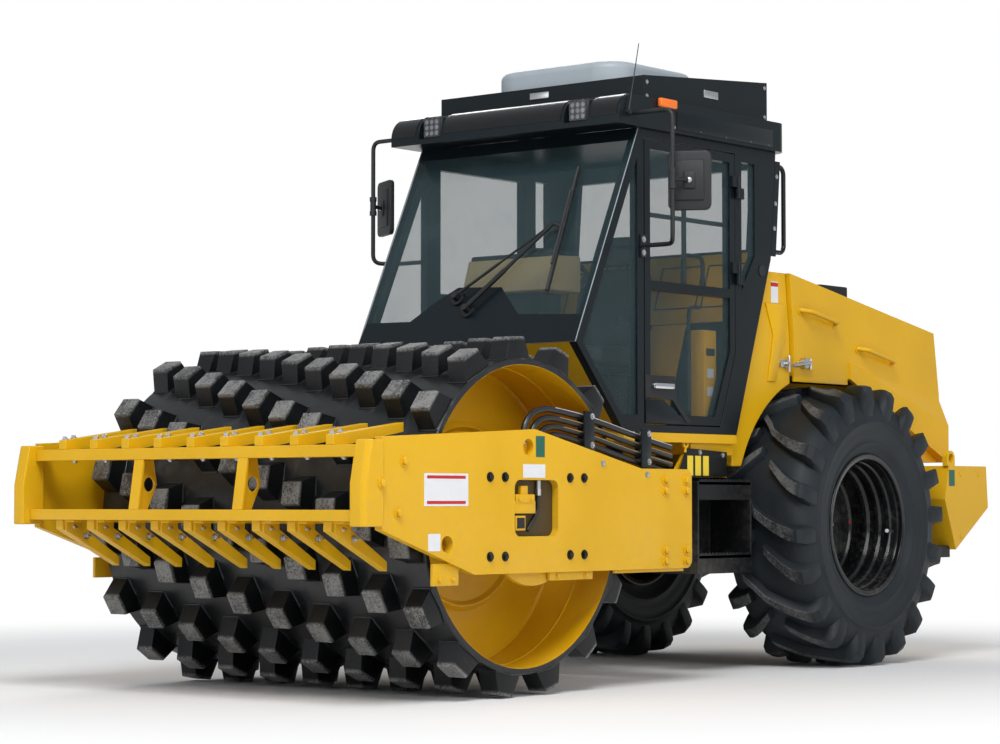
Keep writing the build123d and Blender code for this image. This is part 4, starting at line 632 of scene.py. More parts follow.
class BuildFrontFrame(bpy.types.Operator):
    """Side plates, noses, beams, scrapers and their fittings"""
    bl_idname = "compactor.front_frame"
    bl_label = "Front frame"

    def execute(self, context):
        plate = sizes().plate_edge
        rounded(side_plate_left=plate, side_plate_right=plate, front_noses=plate * 2, front_beam_top=plate,
                front_beam_bottom=plate, front_posts=plate, scrapers_top=plate, scrapers_bottom=plate,
                cross_member=plate * 2, steering_tongue=plate, drum_carriers=plate)
        scraper_fittings()
        for side in SIDES:
            plate_fittings(side)
            window_fittings(side)
            under_plates(side)
        return {"FINISHED"}


# ---- Drum

PAD_TIP_R = 0.856
DRUM_R = 0.750
DRUM_WALL = 0.028
DRUM_HALF = 1.065
PAD_RINGS = 10
PADS_PER_RING = 15
PAD_PITCH = 0.222
PAD_START = 16.0
PAD_TURN = 5.45


def one_pad(edge):
    """A pad standing at the top of a drum that is centred on the origin."""
    bm = bmesh.new()
    root = DRUM_R - 0.012
    tips = [(x, y, PAD_TIP_R) for x in (-0.052, 0.052) for y in (-0.054, 0.054)]
    feet = [(x, y, root) for x in (-0.097, 0.097) for y in (-0.052, 0.052)]
    ridges = [(0, -0.064, root), (0, 0.064, root)]
    bmesh.ops.convex_hull(bm, input=[bm.verts.new(point) for point in tips + feet + ridges])
    bmesh.ops.dissolve_limit(bm, angle_limit=radians(1), verts=bm.verts, edges=bm.edges)
    soften(bm, edge, 2, 20)
    return kept(bm, "pad")


def weld_bead():
    """The bead of weld round a pad's foot, on the drum's face."""
    bm = bmesh.new()
    outline = [(-0.094, -0.054), (0, -0.066), (0.094, -0.054), (0.094, 0.054), (0, 0.066), (-0.094, 0.054)]
    for (x0, y0), (x1, y1) in zip(outline, outline[1:] + outline[:1]):
        z0, z1 = ((DRUM_R ** 2 - x * x) ** 0.5 for x in (x0, x1))
        rod(bm, (x0, y0, z0), (x1, y1, z1), 0.0055, 6)
    return kept(bm, "bead")


def round_the_drum(bm, mesh):
    """Sets a copy of the mesh at every pad's place."""
    for ring in range(PAD_RINGS):
        y = (ring - (PAD_RINGS - 1) / 2) * PAD_PITCH
        for i in range(PADS_PER_RING):
            turn = radians(90 - (PAD_START - PAD_TURN * ring + i * 360 / PADS_PER_RING))
            start = len(bm.verts)
            bm.from_mesh(mesh)
            bm.verts.ensure_lookup_table()
            place = Matrix.Translation((DRUM.x, y, DRUM.z)) @ Matrix.Rotation(turn, 4, "Y")
            bmesh.ops.transform(bm, matrix=place, verts=bm.verts[start:])
    bpy.data.meshes.remove(mesh)


class BuildDrum(bpy.types.Operator):
    """Drum shell, pads, weld beads and the yellow inside"""
    bl_idname = "compactor.drum"
    bl_label = "Drum"

    def execute(self, context):
        steps = sizes().steps
        inner, chamfer = DRUM_R - DRUM_WALL, 0.005
        shell = [(-DRUM_HALF, inner), (-DRUM_HALF, DRUM_R - chamfer), (chamfer - DRUM_HALF, DRUM_R),
                 (DRUM_HALF - chamfer, DRUM_R), (DRUM_HALF, DRUM_R - chamfer), (DRUM_HALF, inner)]
        bevel_flats(drawn("drum_shell", "drum_steel", [(turned, shell, DRUM, steps)], None, "drum_body",
                          replaces=("drum",)))
        bevel_flats(drawn("drum_pads", "pad_steel", [(round_the_drum, one_pad(sizes().pad_edge))], "drum_steel",
                          "drum_body", replaces=("drum",), smooth=30))
        drawn("pad_welds", "drum_steel", [(round_the_drum, weld_bead())], None, "drum_body")
        lining = [(DRUM_HALF - 0.002, inner - 0.002), (DRUM_HALF - 0.002, inner + 0.004), (0.640, inner + 0.004),
                  (0.640, 0.122), (0.780, 0.122), (0.780, 0.190), (0.672, 0.190), (0.672, 0.46), (0.690, 0.44),
                  (0.690, 0.43), (0.670, 0.41), (0.670, inner - 0.012), (0.682, inner - 0.002)]
        rib = [(0.86, inner - 0.001), (0.866, inner - 0.006), (0.872, inner - 0.001)]
        seams = [on_circle(DRUM, inner - 0.001, degrees, 0.685) for degrees in (200, 320, 80)]
        drawn("drum_inside", "yellow_paint", [], "drum_steel", "drum_body",
              both=[(turned, lining, DRUM, steps), (turned, rib, DRUM, steps),
                    *((rod, seam, seam + Vector((0, 0.370, 0)), 0.004, 8) for seam in seams)])
        return {"FINISHED"}


# ---- Hoses

HOSE_R = 0.016
HOSE_Y = 1.0875
# the same runs as in the model, one row for each hose from the lowest up
HOSE_RUNS = tuple(
    ((behind(0.130) + 0.060 * row, HOSE_Y, 1.2003),
     (behind(0.130) + 0.060 * row, HOSE_Y, 1.262 + 0.043 * row),
     (behind(0.430), HOSE_Y, 1.2117 + 0.043 * row),
     (behind(0.900), HOSE_Y, 1.112 + 0.043 * row),
     (behind(1.190), HOSE_Y - 0.030, 1.072 + 0.043 * row))
    for row in range(4))
CLAMPS = ((behind(0.430), 1.166), (behind(0.900), 1.090))      # columns: X, foot
CLAMP_Y = 1.122                                                # outer face of a clamp
# row: finish of its printed line, the line's place outwards and upwards from the hose's middle
HOSE_PRINTS = {3: ("white_film", 0.0105, 0.0105), 2: ("tan_print", 0.0125, 0.0080),
               1: ("tan_print", 0.0135, 0.0060)}


def smooth_line(name, points, radius, look=None):
    """A hose or printed line as one smooth curve. Without a finish it is only measured."""
    curve = bpy.data.curves.new(name, "CURVE")
    curve.dimensions = "3D"
    line = curve.splines.new("NURBS")
    line.points.add(len(points) - 1)
    for point, place in zip(line.points, points):
        point.co = (*place, 1)
    line.order_u = 3
    line.use_endpoint_u = True
    line.resolution_u = 24
    curve.bevel_depth = radius
    curve.bevel_resolution = 5
    curve.use_fill_caps = True
    made = bpy.data.objects.new(name, curve)
    bpy.context.scene.collection.objects.link(made)
    if look:
        curve.materials.append(finish(look))
        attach(made, "front_frame")
    return made


def run_length(points):
    """Length of the smooth line through a run of control points."""
    made = smooth_line("measured_run", points, 0.0)
    mesh = bpy.data.meshes.new_from_object(made)
    length = sum((mesh.vertices[a].co - mesh.vertices[b].co).length for a, b in
                 (edge.vertices for edge in mesh.edges))
    bpy.data.objects.remove(made)
    bpy.data.meshes.remove(mesh)
    if not length:
        raise RuntimeError("a run has no length")
    return length


class BuildHoses(bpy.types.Operator):
    """Drum hoses with their printed lines and clamps"""
    bl_idname = "compactor.hoses"
    bl_label = "Hoses"

    def execute(self, context):
        for row, points in enumerate(HOSE_RUNS):
            hose = smooth_line(f"drive_hose_{row + 1}", points, HOSE_R, "rubber_hose")
            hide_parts("drive_hoses")
            if row in HOSE_PRINTS:
                look, out, up = HOSE_PRINTS[row]
                top = (Vector(points[1]) + Vector(points[2])) / 2
                beside = [Vector(point) + Vector((0, out, up)) for point in (top, *points[2:])]
                smooth_line(f"hose_print_{row + 1}", beside, 0.0022, look)
            run_length(points)
        where = ("rubber_hose", "front_frame")
        drawn("hose_clamps", "cab_paint",
              [(block, (x - 0.040, CLAMP_Y - 0.0105, low), (x + 0.040, CLAMP_Y, low + 0.200)) for x, low in CLAMPS],
              *where, edge=0.003, replaces=("drive_hoses",))
        ends = [(x - 0.02, low + up) for x, low in CLAMPS for up in (0.035, 0.175)]
        drawn("clamp_bolts", "zinc", [(bolt, (x, CLAMP_Y, z), LEFT, 0.011) for x, z in ends]
              + [(rod, (x, CLAMP_Y - 0.060, z), (x, CLAMP_Y, z), 0.005, 10) for x, z in ends], *where)
        drawn("clamp_backs", "black_paint",
              [(block, (x - 0.020, CLAMP_Y - 0.061, low + 0.01), (x + 0.020, CLAMP_Y - 0.054, low + 0.19))
               for x, low in CLAMPS],
              *where, edge=0.002)
        ports = [Vector(points[0]) for points in HOSE_RUNS]
        drawn("hose_ferrules", "zinc",
              [(rod, port, port + Vector((0, 0, 0.035)), HOSE_R + 0.004, 6) for port in ports]
              + [(rod, port - Vector((0, 0, 0.012)), port, HOSE_R + 0.007, 6) for port in ports], *where)
        return {"FINISHED"}


# ---- Steering and rear frame

class BuildSteering(bpy.types.Operator):
    """Steering cylinders with their eyes and the hitch"""
    bl_idname = "compactor.steering"
    bl_label = "Steering"

    def execute(self, context):
        edge = sizes().plate_edge
        rounded(steer_barrel_left=edge, steer_barrel_right=edge, hitch_block=edge, steer_rod_left=edge * 0.5,
                steer_rod_right=edge * 0.5)
        return {"FINISHED"}


STEP_TEETH = 15


def step_grips(side):
    """Saw-edged strips along the treads."""
    low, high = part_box("access_steps")
    x0, x1 = low.x + 0.01, high.x - 0.01
    pitch = (x1 - x0) / STEP_TEETH
    rows = []
    for z in (low.z + 0.112, 1.047):
        outline = [(x0, z - 0.03)]
        for i in range(STEP_TEETH):
            outline += [(x0 + pitch * (i + share), z - drop) for share, drop in ((0.25, 0), (0.5, 0.012), (0.75, 0))]
        outline.append((x1, z - 0.03))
        rows.append((slab, [(x, high.y, z) for x, z in outline], (0, -0.004, 0)))
    drawn("step_grips", "black_paint", rows, side=side)


def deck_mounts(edge):
    """Deck and its aprons, whose feet stay clear of the cross member as it swings beneath them."""
    bm = copied("cab_mounts")
    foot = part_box("cross_member")[1].z
    for vert in bm.verts:
        if abs(vert.co.z - foot) < 0.003:
            vert.co.z = foot + 0.007
    soften(bm, edge)
    bevel_flats(piece("cab_mounts_shown", bm, "yellow_paint", SLOTS["cab_mounts"], replaces=("cab_mounts",)))


def warning_plate(side):
    """Black plate under the cab with three blank yellow labels, two bolts and an eye."""
    y, thick = 0.735, 0.006
    face = y + thick
    corners = ((2.163, 1.060), (2.163, 1.195), (1.786, 1.213), (1.704, 1.060))
    drawn("label_plate", "black_paint", [(slab, [(behind(back), y, z) for back, z in corners], (0, thick, 0))],
          side=side, edge=0.0015)
    drawn("deck_labels", "yellow_film",
          [(block, (behind(back) - 0.026, face, 1.066), (behind(back) + 0.026, face + 0.0015, 1.172))
           for back in (1.815, 1.888, 1.961)], "yellow_paint", side=side)
    drawn("label_plate_bolts", "zinc", [(bolt, (behind(back), face, z), LEFT, 0.010)
                                        for back, z in ((1.907, 1.190), (2.124, 1.178))], "black_paint", side=side)
    x, z = behind(1.777), 1.225
    ring = [(y - 0.007, 0.012), (y + 0.007, 0.012), (y + 0.007, 0.024), (y - 0.007, 0.024)]
    drawn("eye_bolt", "yellow_paint", [(rod, (x, y, 1.19), (x, y, z - 0.01), 0.008, 12),
                                       (turned, ring, (x, 0, z + 0.01), 24)], side=side)


def weight_fittings(side):
    """Blank lifting label and plugs of the counterweight."""
    x, face = AXLE.x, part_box("counterweight")[1].y
    drawn("weight_label", "green_film", [(block, (x - 1.03, face, 1.02), (x - 0.965, face + 0.0016, 1.115))],
          "yellow_paint", side=side)
    drawn("weight_plugs", "yellow_paint", [(bolt, (x - back, face - 0.001, z), LEFT, 0.012, 0.006)
                                           for back, z in ((1.10, 1.09), (1.32, 1.09), (1.10, 0.72))], side=side)


class BuildRearFrame(bpy.types.Operator):
    """Rails, axle, deck, steps and counterweight"""
    bl_idname = "compactor.rear_frame"
    bl_label = "Rear frame"

    def execute(self, context):
        edge = sizes().plate_edge
        rounded(frame_rails=edge, cross_plates=edge, rear_axle=edge, access_steps=edge, counterweight=edge * 2,
                tail_blocks=edge)
        edged("bay_walls", edge, "yellow_paint")
        deck_mounts(edge)
        for side in SIDES:
            step_grips(side)
            warning_plate(side)
        for side in SIDES:
            weight_fittings(side)
        return {"FINISHED"}


# ---- Tyres and rims

TYRE_MID = 0.7925
LUG_REACH = 0.77                # radius at which a lug's width is measured
# columns: distance from the tyre's middle, radius
CARCASS = (
    (0.000, 0.744), (0.080, 0.743), (0.150, 0.739), (0.200, 0.730), (0.232, 0.712), (0.254, 0.686),
    (0.268, 0.655), (0.276, 0.620), (0.280, 0.590), (0.283, 0.588), (0.285, 0.580), (0.283, 0.572),
    (0.2805, 0.570), (0.278, 0.535), (0.272, 0.500), (0.263, 0.470), (0.2655, 0.466), (0.266, 0.458),
    (0.262, 0.452), (0.251, 0.436), (0.238, 0.420), (0.234, 0.408), (0.228, 0.400), (0.222, 0.372),
)
# columns: degrees from the first station of a lug, half width, then crown and foot as
# distance from the tyre's middle and radius
LONG_LUG = (
    (0.0, 0.021, (-0.128, 0.789), (-0.134, 0.735)), (-2.2, 0.022, (-0.100, 0.7945), (-0.104, 0.735)),
    (-6.0, 0.0225, (-0.050, 0.795), (-0.052, 0.735)), (-10.0, 0.023, (-0.010, 0.795), (-0.010, 0.735)),
    (-13.0, 0.025, (0.050, 0.795), (0.050, 0.735)), (-15.6, 0.029, (0.114, 0.794), (0.112, 0.732)),
    (-17.4, 0.033, (0.170, 0.793), (0.166, 0.728)), (-18.6, 0.037, (0.222, 0.791), (0.214, 0.715)),
    (-19.2, 0.041, (0.262, 0.784), (0.242, 0.695)), (-19.5, 0.043, (0.286, 0.752), (0.256, 0.670)),
    (-19.7, 0.041, (0.2905, 0.690), (0.266, 0.640)), (-19.8, 0.036, (0.284, 0.630), (0.273, 0.606)),
)
SHORT_LUG = (
    (-24.8, 0.022, (0.038, 0.789), (0.030, 0.735)), (-26.6, 0.024, (0.064, 0.7945), (0.058, 0.735)),
    (-29.8, 0.027, (0.112, 0.795), (0.108, 0.733)), (-32.4, 0.030, (0.152, 0.793), (0.148, 0.730)),
    (-34.6, 0.034, (0.196, 0.793), (0.190, 0.722)), (-35.9, 0.038, (0.232, 0.790), (0.222, 0.705)),
    (-36.6, 0.042, (0.266, 0.781), (0.244, 0.690)), (-37.0, 0.043, (0.287, 0.750), (0.257, 0.668)),
    (-37.2, 0.041, (0.2905, 0.688), (0.267, 0.638)), (-37.4, 0.036, (0.284, 0.628), (0.273, 0.606)),
)
LUG_STARTS = (51.0, 57.0)
LUG_PITCH = 36.0
INNER_FIRST = 5                 # the inner half's long lugs start at this station, clear of the outer ones
# columns: y, radius
RIM = (
    (1.030, 0.372), (1.034, 0.398), (1.029, 0.405), (1.022, 0.398), (1.014, 0.385), (1.004, 0.371),
    (0.985, 0.366), (0.962, 0.362), (0.955, 0.352), (0.935, 0.350), (0.925, 0.357), (0.900, 0.356),
    (0.890, 0.343), (0.868, 0.340), (0.858, 0.348), (0.830, 0.346), (0.818, 0.330), (0.795, 0.326),
    (0.785, 0.334), (0.715, 0.332), (0.702, 0.318), (0.702, 0.10), (0.678, 0.10), (0.678, 0.330),
    (0.560, 0.335), (0.553, 0.355), (0.548, 0.3717), (0.985, 0.3717), (1.000, 0.3717),
)
HUB_COVER = (
    (0.700, 0.0), (0.700, 0.235), (0.716, 0.235), (0.722, 0.229), (0.722, 0.214), (0.742, 0.205),
    (0.775, 0.196), (0.782, 0.188), (0.782, 0.0),
)


def lug_mesh(stations):
    """A bar with a rounded crown, cut at every station: X counts stations, Y is -1 to 1, Z 0 to 1."""
    bm = bmesh.new()
    last = len(stations) - 1
    block(bm, (0, -1, 0), (last, 1, 1))
    crown = [edge for edge in bm.edges if all(vert.co.z > 0.5 for vert in edge.verts)]
    bevelled(bm, crown, sizes().lug_edge / 0.055, 1)
    for vert in bm.verts:
        vert.co.x = min(max(vert.co.x, 0), last)
    for cut in range(1, last):
        bmesh.ops.bisect_plane(bm, geom=everything(bm), dist=1e-6, plane_co=(cut, 0, 0), plane_no=(1, 0, 0))
    return bm


def bend_lug(bm, stations, start, half):
    """Lays the bar over the tyre, station by station."""
    last = len(stations) - 1
    for vert in bm.verts:
        along_bar = min(max(vert.co.x, 0), last)
        i = min(int(along_bar), last - 1)
        share = along_bar - i
        (a0, w0, c0, f0), (a1, w1, c1, f1) = stations[i], stations[i + 1]
        width = w0 + (w1 - w0) * share
        out, radius = Vector(f0).lerp(Vector(f1), share).lerp(Vector(c0).lerp(Vector(c1), share), vert.co.z)
        spread = width * (1 + 0.5 * (1 - vert.co.z)) * vert.co.y
        angle = radians(start + a0 + (a1 - a0) * share) + spread / LUG_REACH
        vert.co = (AXLE.x + radius * cos(angle), TYRE_MID + half * out, AXLE.z + radius * sin(angle))


def lugs(bm):
    """All lugs of a tyre, its inner half turned against the outer one."""
    for half, start in zip((1, -1), LUG_STARTS):
        for i in range(round(360 / LUG_PITCH)):
            for stations in (LONG_LUG if half > 0 else LONG_LUG[INNER_FIRST:], SHORT_LUG):
                one = lug_mesh(stations)
                bend_lug(one, stations, start + i * LUG_PITCH, half)
                mesh = kept(one, "lug")
                bm.from_mesh(mesh)
                bpy.data.meshes.remove(mesh)


def tyre(side):
    """Carcass and lugs of a tyre."""
    outline = [(TYRE_MID + out, r) for out, r in CARCASS]
    outline += [(TYRE_MID - out, r) for out, r in reversed(CARCASS[1:])]
    where = {"body": f"wheel_{side}", "side": side, "replaces": (f"tyre_{side}",)}
    drawn("tyre_carcass", "tyre", [(turned, outline, AXLE, sizes().steps)], smooth=60, **where)
    drawn("tyre_lugs", "tyre", [(lugs,)], smooth=32, **where)


def rim(side):
    """Stepped rim with its disc, hub cover, cap, red mark and valve."""
    steps, shown = sizes().steps, (f"rim_{side}",)
    where = {"slot": "rim_paint", "body": f"wheel_{side}", "side": side}
    drawn("rim_shell", "rim_paint", [(turned, RIM, AXLE, steps)], edge=0.002, angle=35, smooth=40,
          replaces=shown, **where)
    bolts = [(bolt, on_circle(AXLE, 0.268, 15 + 30 * i, 0.701), LEFT, 0.015, 0.022) for i in range(12)]
    drawn("hub_cover", "rim_paint", [(turned, HUB_COVER, AXLE, steps // 2, False), *bolts], replaces=shown, **where)
    valve = on_circle(AXLE, 0.345, 186, 0.935)
    drawn("hub_plug", "zinc",
          [(rod, (AXLE.x, 0.780, AXLE.z), (AXLE.x, 0.790, AXLE.z), 0.013, 16),
           (rod, valve, valve + Vector((0.022, 0.02, 0)), 0.006, 12),
           (rod, valve + Vector((0.018, 0.016, 0)), valve + Vector((0.034, 0.030, 0)), 0.011, 12)], **where)
    mark = Vector((AXLE.x + 0.196 * cos(radians(176)), 0.776, AXLE.z + 0.180 * sin(radians(176))))
    drawn("hub_mark", "red", [(rod, mark, mark + Vector((0, 0.008, 0)), 0.009, 16)], **where)


class BuildTyres(bpy.types.Operator):
    """Rear tyres with curved lugs, and their deep rims"""
    bl_idname = "compactor.tyres"
    bl_label = "Tyres and rims"

    def execute(self, context):
        for side in SIDES:
            tyre(side)
            rim(side)
        return {"FINISHED"}


# ---- Cab

SCREEN_FOOT = Vector((behind(0.805) + 0.010, 0, 1.740))
SCREEN_BROW = Vector((behind(1.347) + 0.010, 0, 2.887))
SCREEN_LENGTH = (SCREEN_BROW - SCREEN_FOOT).length
SLOPE = (SCREEN_BROW - SCREEN_FOOT).normalized()
FACING = Vector((SLOPE.z, 0, -SLOPE.x))
# corners of the black bands on the windscreen: distance up its slope, y
FOOT_BAND = ((0.0, -0.750), (0.170, -0.735), (0.165, -0.42), (0.285, -0.27), (0.36, -0.15), (0.345, 0.15),
             (0.175, 0.32), (0.155, 0.735), (0.0, 0.750))
BROW_BAND = tuple((SCREEN_LENGTH - down, y)
                  for down, y in ((0.075, -0.74), (0.075, 0.74), (0.002, 0.74), (0.002, -0.74)))
# corners on the door: distance behind the drum's axis, height
DOOR_POCKET = ((1.396, 1.590), (1.660, 1.590), (1.675, 1.470), (1.812, 1.345), (1.770, 1.345), (1.640, 1.462),
               (1.396, 1.472))
DOOR_PANEL = ((1.396, 1.462), (1.556, 1.462), (1.662, 1.408), (1.745, 1.338), (1.396, 1.338))
BROW_Z = 3.050
BROW_R = 0.120
ROOF_BOX_BOLTS = ((1.480, 3.150), (1.480, 3.075), (2.600, 3.250), (2.600, 3.085))


def on_screen(up, y, out=0.0):
    """A point on the windscreen, so far up its slope and out of its face."""
    return SCREEN_FOOT + SLOPE * up + Vector((0, y, 0)) + FACING * out


def screen_point(back, y, z, out):
    """The point of the windscreen beside a measured point (X behind the drum's axis, y, z)."""
    return on_screen((Vector((behind(back), 0, z)) - SCREEN_FOOT).dot(SLOPE), y, out)


def screen_fittings():
    """Black bands, pale polished edges and pillars of the windscreen."""
    drawn("screen_band", "cab_paint", [(slab, [on_screen(up, y, 0.0004) for up, y in band], FACING * 0.0008)
                                       for band in (FOOT_BAND, BROW_BAND)])
    y = CAB_HALF - 0.0015
    drawn("screen_edges", "pale_plastic",
          [(rod, on_screen(0.003, -CAB_HALF, -0.004), on_screen(0.003, CAB_HALF, -0.004), 0.0035, 8)], "glass",
          both=[(rod, on_screen(0.0, y, -0.004), on_screen(SCREEN_LENGTH, y, -0.004), 0.0028, 8)])
    drawn("front_pillars", "cab_paint", [], both=[
        (block, (behind(0.90), 0.712, 1.745), (behind(0.87), 0.722, 1.76)),
        (rod, on_screen(0.02, 0.715, -0.03), on_screen(SCREEN_LENGTH - 0.02, 0.715, -0.03), 0.016, 12)])


def wiper():
    """Two arms side by side and the blade."""
    lift = 0.035
    tip = screen_point(1.098, 0.417, 2.36, lift + 0.01)
    head, foot = screen_point(1.248, 0.447, 2.678, 0.022), screen_point(0.93, 0.482, 2.005, 0.022)
    rows = []
    for pivot, radius in ((screen_point(0.926, -0.124, 1.997, lift), 0.006),
                          (screen_point(0.893, -0.026, 1.927, lift), 0.010)):
        rows += [(rod, pivot, pivot.lerp(tip, 0.45), radius * 1.35, 10), (rod, pivot, tip, radius, 10),
                 (rod, pivot - FACING * (lift + 0.004), pivot + FACING * 0.014, 0.020, 16),
                 (rod, pivot - FACING * (lift + 0.002), pivot - FACING * (lift - 0.014), 0.040, 20)]
    over = FACING * 0.014
    rows += [(rod, foot, head, 0.009, 8), (rod, foot.lerp(head, 0.2) + over, foot.lerp(head, 0.8) + over, 0.007, 8),
             (rod, tip, foot.lerp(head, 0.5) + FACING * 0.012, 0.012, 10),
             (slab, [foot - FACING * 0.002, head - FACING * 0.002, head - FACING * 0.02, foot - FACING * 0.02],
              (0, 0.003, 0))]
    drawn("wiper", "black_plastic", rows)


def roof_fittings():
    """Gloss brow panels, bolts, side fascias and bezels of the roof."""
    centre = (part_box("roof")[1].x - BROW_R, 0, BROW_Z - BROW_R)
    for name, side, y0, y1 in (("brow_panel", None, -0.405, 0.405), ("brow_cap", "left", 0.605, 0.775),
                               ("brow_cap", "right", 0.605, 0.775)):
        outline = [(y0, BROW_R - 0.002), (y0, BROW_R + 0.003), (y1, BROW_R + 0.003), (y1, BROW_R - 0.002)]
        drawn(name, "rim_paint", [(turned, outline, centre, 14, True, radians(88), radians(1))], "cab_paint",
              side=side, smooth=40)
    drawn("roof_bolts", "zinc", [], "cab_paint",
          both=[(bolt, (behind(back), 0.706, z), LEFT, 0.008, 0.006) for back, z in ROOF_BOX_BOLTS]
          + [(bolt, (behind(back), 0.785, 2.915), LEFT, 0.006, 0.004) for back in (1.62, 1.86, 2.10, 2.34, 2.52)])
    drawn("roof_fascias", "cab_paint", [], edge=0.003,
          both=[(block, (behind(2.560), 0.784, 2.905), (behind(1.640), 0.789, 3.000))])
    drawn("roof_bezels", "zinc", [(block, (behind(1.455), -0.065, 3.122), (behind(1.449), 0.065, 3.158))],
          "cab_paint", edge=0.004, both=[(block, (behind(2.138), 0.705, 3.128), (behind(2.003), 0.711, 3.170))])


def door_fittings():
    """Handle with its pocket, lower panel, window bars and inner rails of the door."""
    where = ("cab_paint", "door_body")
    for name, look, corners, thick, edge in (("door_pocket", "black_plastic", DOOR_POCKET, 0.004, 0.002),
                                             ("door_lower_panel", "cab_paint", DOOR_PANEL, 0.006, 0.003)):
        drawn(name, look, [(slab, [(behind(back), CAB_HALF, z) for back, z in corners], (0, thick, 0))],
              *where, edge=edge)
    pin = Vector((behind(1.46), CAB_HALF + 0.004, 1.535))
    drawn("door_handle", "chrome_rod",
          [(rod, pin, pin + Vector((0, 0.022, 0)), 0.017, 20),
           (block, (behind(1.625), CAB_HALF + 0.016, 1.520), (behind(1.45), CAB_HALF + 0.030, 1.550))],
          *where, edge=0.004)
    inner = CAB_HALF - 0.03
    drawn("window_bars", "black_plastic",
          [(block, (behind(1.815), inner - 0.012, 2.09), (behind(1.785), inner + 0.002, 2.785)),
           (block, (behind(2.18), inner - 0.012, 2.43), (behind(1.45), inner - 0.004, 2.455))], *where, edge=0.002)
    # columns: y, radius, then the bar's corners as distance behind the drum's axis and height
    rails = ((0.60, 0.012, ((1.95, 2.10), (1.95, 2.27), (2.14, 2.27), (2.14, 2.10))),
             (0.675, 0.011, ((1.9, 1.42), (1.9, 1.98), (2.0, 1.98))))
    drawn("door_inner_rail", "black_plastic",
          [(bent_bar, [(behind(back), y, z) for back, z in corners], radius, 0.05) for y, radius, corners in rails],
          *where)


def wall_fittings():
    """Bolts of the rear rails, discs and mirror brackets."""
    rear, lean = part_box("cab_back")[0].x - 0.022, 0.0873
    drawn("wall_bolts", "zinc", [], "cab_paint",
          both=[(bolt, (rear + (2.887 - z) * lean, CAB_HALF - 0.001, z), LEFT, 0.009, 0.006)
                for z in (2.751, 2.598, 2.457)]
          + [(bolt, (behind(1.372), CAB_HALF + 0.012, z), LEFT, 0.011, 0.008) for z in (2.30, 2.23)])
    x = behind(2.499)
    drawn("mirror_brackets", "black_plastic", [], "cab_paint", edge=0.003,
          both=[(block, (behind(1.392), CAB_HALF, 2.205), (behind(1.352), CAB_HALF + 0.012, 2.325))],
          after=[(rod, (x, way * (CAB_HALF - 0.002), 2.21), (x, way * (CAB_HALF + 0.004), 2.21), 0.032, 28)
                 for way in (1, -1)])


class BuildCab(bpy.types.Operator):
    """Cab walls, floor, glass, roof and wiper"""
    bl_idname = "compactor.cab"
    bl_label = "Cab"

    def execute(self, context):
        plate, panel = sizes().plate_edge, sizes().panel_edge
        rounded(cab_floor=plate, cab_front_panel=plate, cab_side_left=plate, cab_side_right=plate, cab_back=plate,
                roof=panel, door_hinges=0.002, grab_rails=0, cab_door=plate)
        edged("roof_cooler", 0.004).name = "roof_dome"
        for node in ("windscreen", "cab_glass", "door_glass"):
            panes = frame["nodes"][node].data.materials
            panes.clear()
            panes.append(finish("glass"))
        for fit in (screen_fittings, wiper, roof_fittings, door_fittings, wall_fittings):
            fit()
        return {"FINISHED"}


SEAT_X = behind(1.900)
CAB_FLOOR = 1.290
CONSOLE_BACK = behind(1.500)
WHEEL_TOP = Vector((behind(1.600), 0, 2.190))
COLUMN_FOOT = Vector((behind(1.480), 0, 2.000))
WHEEL_R = 0.19
LINING_X = behind(2.195) + 0.002        # where the back wall's lining meets the floor
LINING_LEAN = (behind(2.542) - behind(2.195)) / 0.990


def cushion(name, low, high, lean=0.0, pivot=None):
    """A crowned cushion: a block cut into squares, drawn in at its corners and smoothed."""
    bm = bmesh.new()
    low, high = (Vector((SEAT_X + x, y, CAB_FLOOR + z)) for x, y, z in (low, high))
    block(bm, low, high)
    bmesh.ops.subdivide_edges(bm, edges=bm.edges, cuts=3, use_grid_fill=True)
    middle, size = (low + high) / 2, high - low
    for vert in bm.verts:
        x, y, z = ((vert.co - middle)[i] * 2 / size[i] for i in range(3))
        vert.co.z += 0.012 * (1 - x * x) * (1 - y * y) * z
        vert.co.y -= 0.012 * y * x * x * abs(z)
    if lean:
        bmesh.ops.rotate(bm, verts=bm.verts, cent=(SEAT_X + pivot[0], 0, CAB_FLOOR + pivot[1]),
                         matrix=Matrix.Rotation(lean, 3, "Y"))
    made = piece(name, bm, "seat_vinyl", replaces=("operator_seat",), smooth=180)
    round_off = made.modifiers.new("round_off", "SUBSURF")
    round_off.levels = round_off.render_levels = 2


def seat():
    """Padded cushions on their base, with arm rests."""
    cushion("seat_cushion", (-0.235, -0.245, 0.385), (0.262, 0.245, 0.49))
    cushion("seat_back", (-0.235, -0.235, 0.43), (-0.125, 0.235, 0.94), -radians(8), (-0.18, 0.43))
    cushion("seat_headrest", (-0.315, -0.14, 0.965), (-0.225, 0.14, 1.12), -radians(8), (-0.27, 0.965))
    x, floor, arm = SEAT_X, CAB_FLOOR, 0.262
    drawn("seat_frame", "black_plastic",
          [(block, (x - 0.180, -0.170, floor), (x + 0.200, 0.170, floor + 0.10)),
           (block, (x - 0.150, -0.150, floor + 0.10), (x + 0.170, 0.150, floor + 0.34)),
           (block, (x - 0.200, -0.200, floor + 0.34), (x + 0.220, 0.200, floor + 0.40))],
          "seat_vinyl", edge=0.006, replaces=("operator_seat",),
          both=[(block, (x - 0.16, arm - 0.025, floor + 0.60), (x + 0.12, arm + 0.025, floor + 0.655)),
                (rod, (x - 0.13, arm, floor + 0.45), (x - 0.14, arm, floor + 0.62), 0.015, 12),
                (rod, (x - 0.255, 0.07, floor + 0.88), (x - 0.262, 0.07, floor + 1.0), 0.007, 10)])


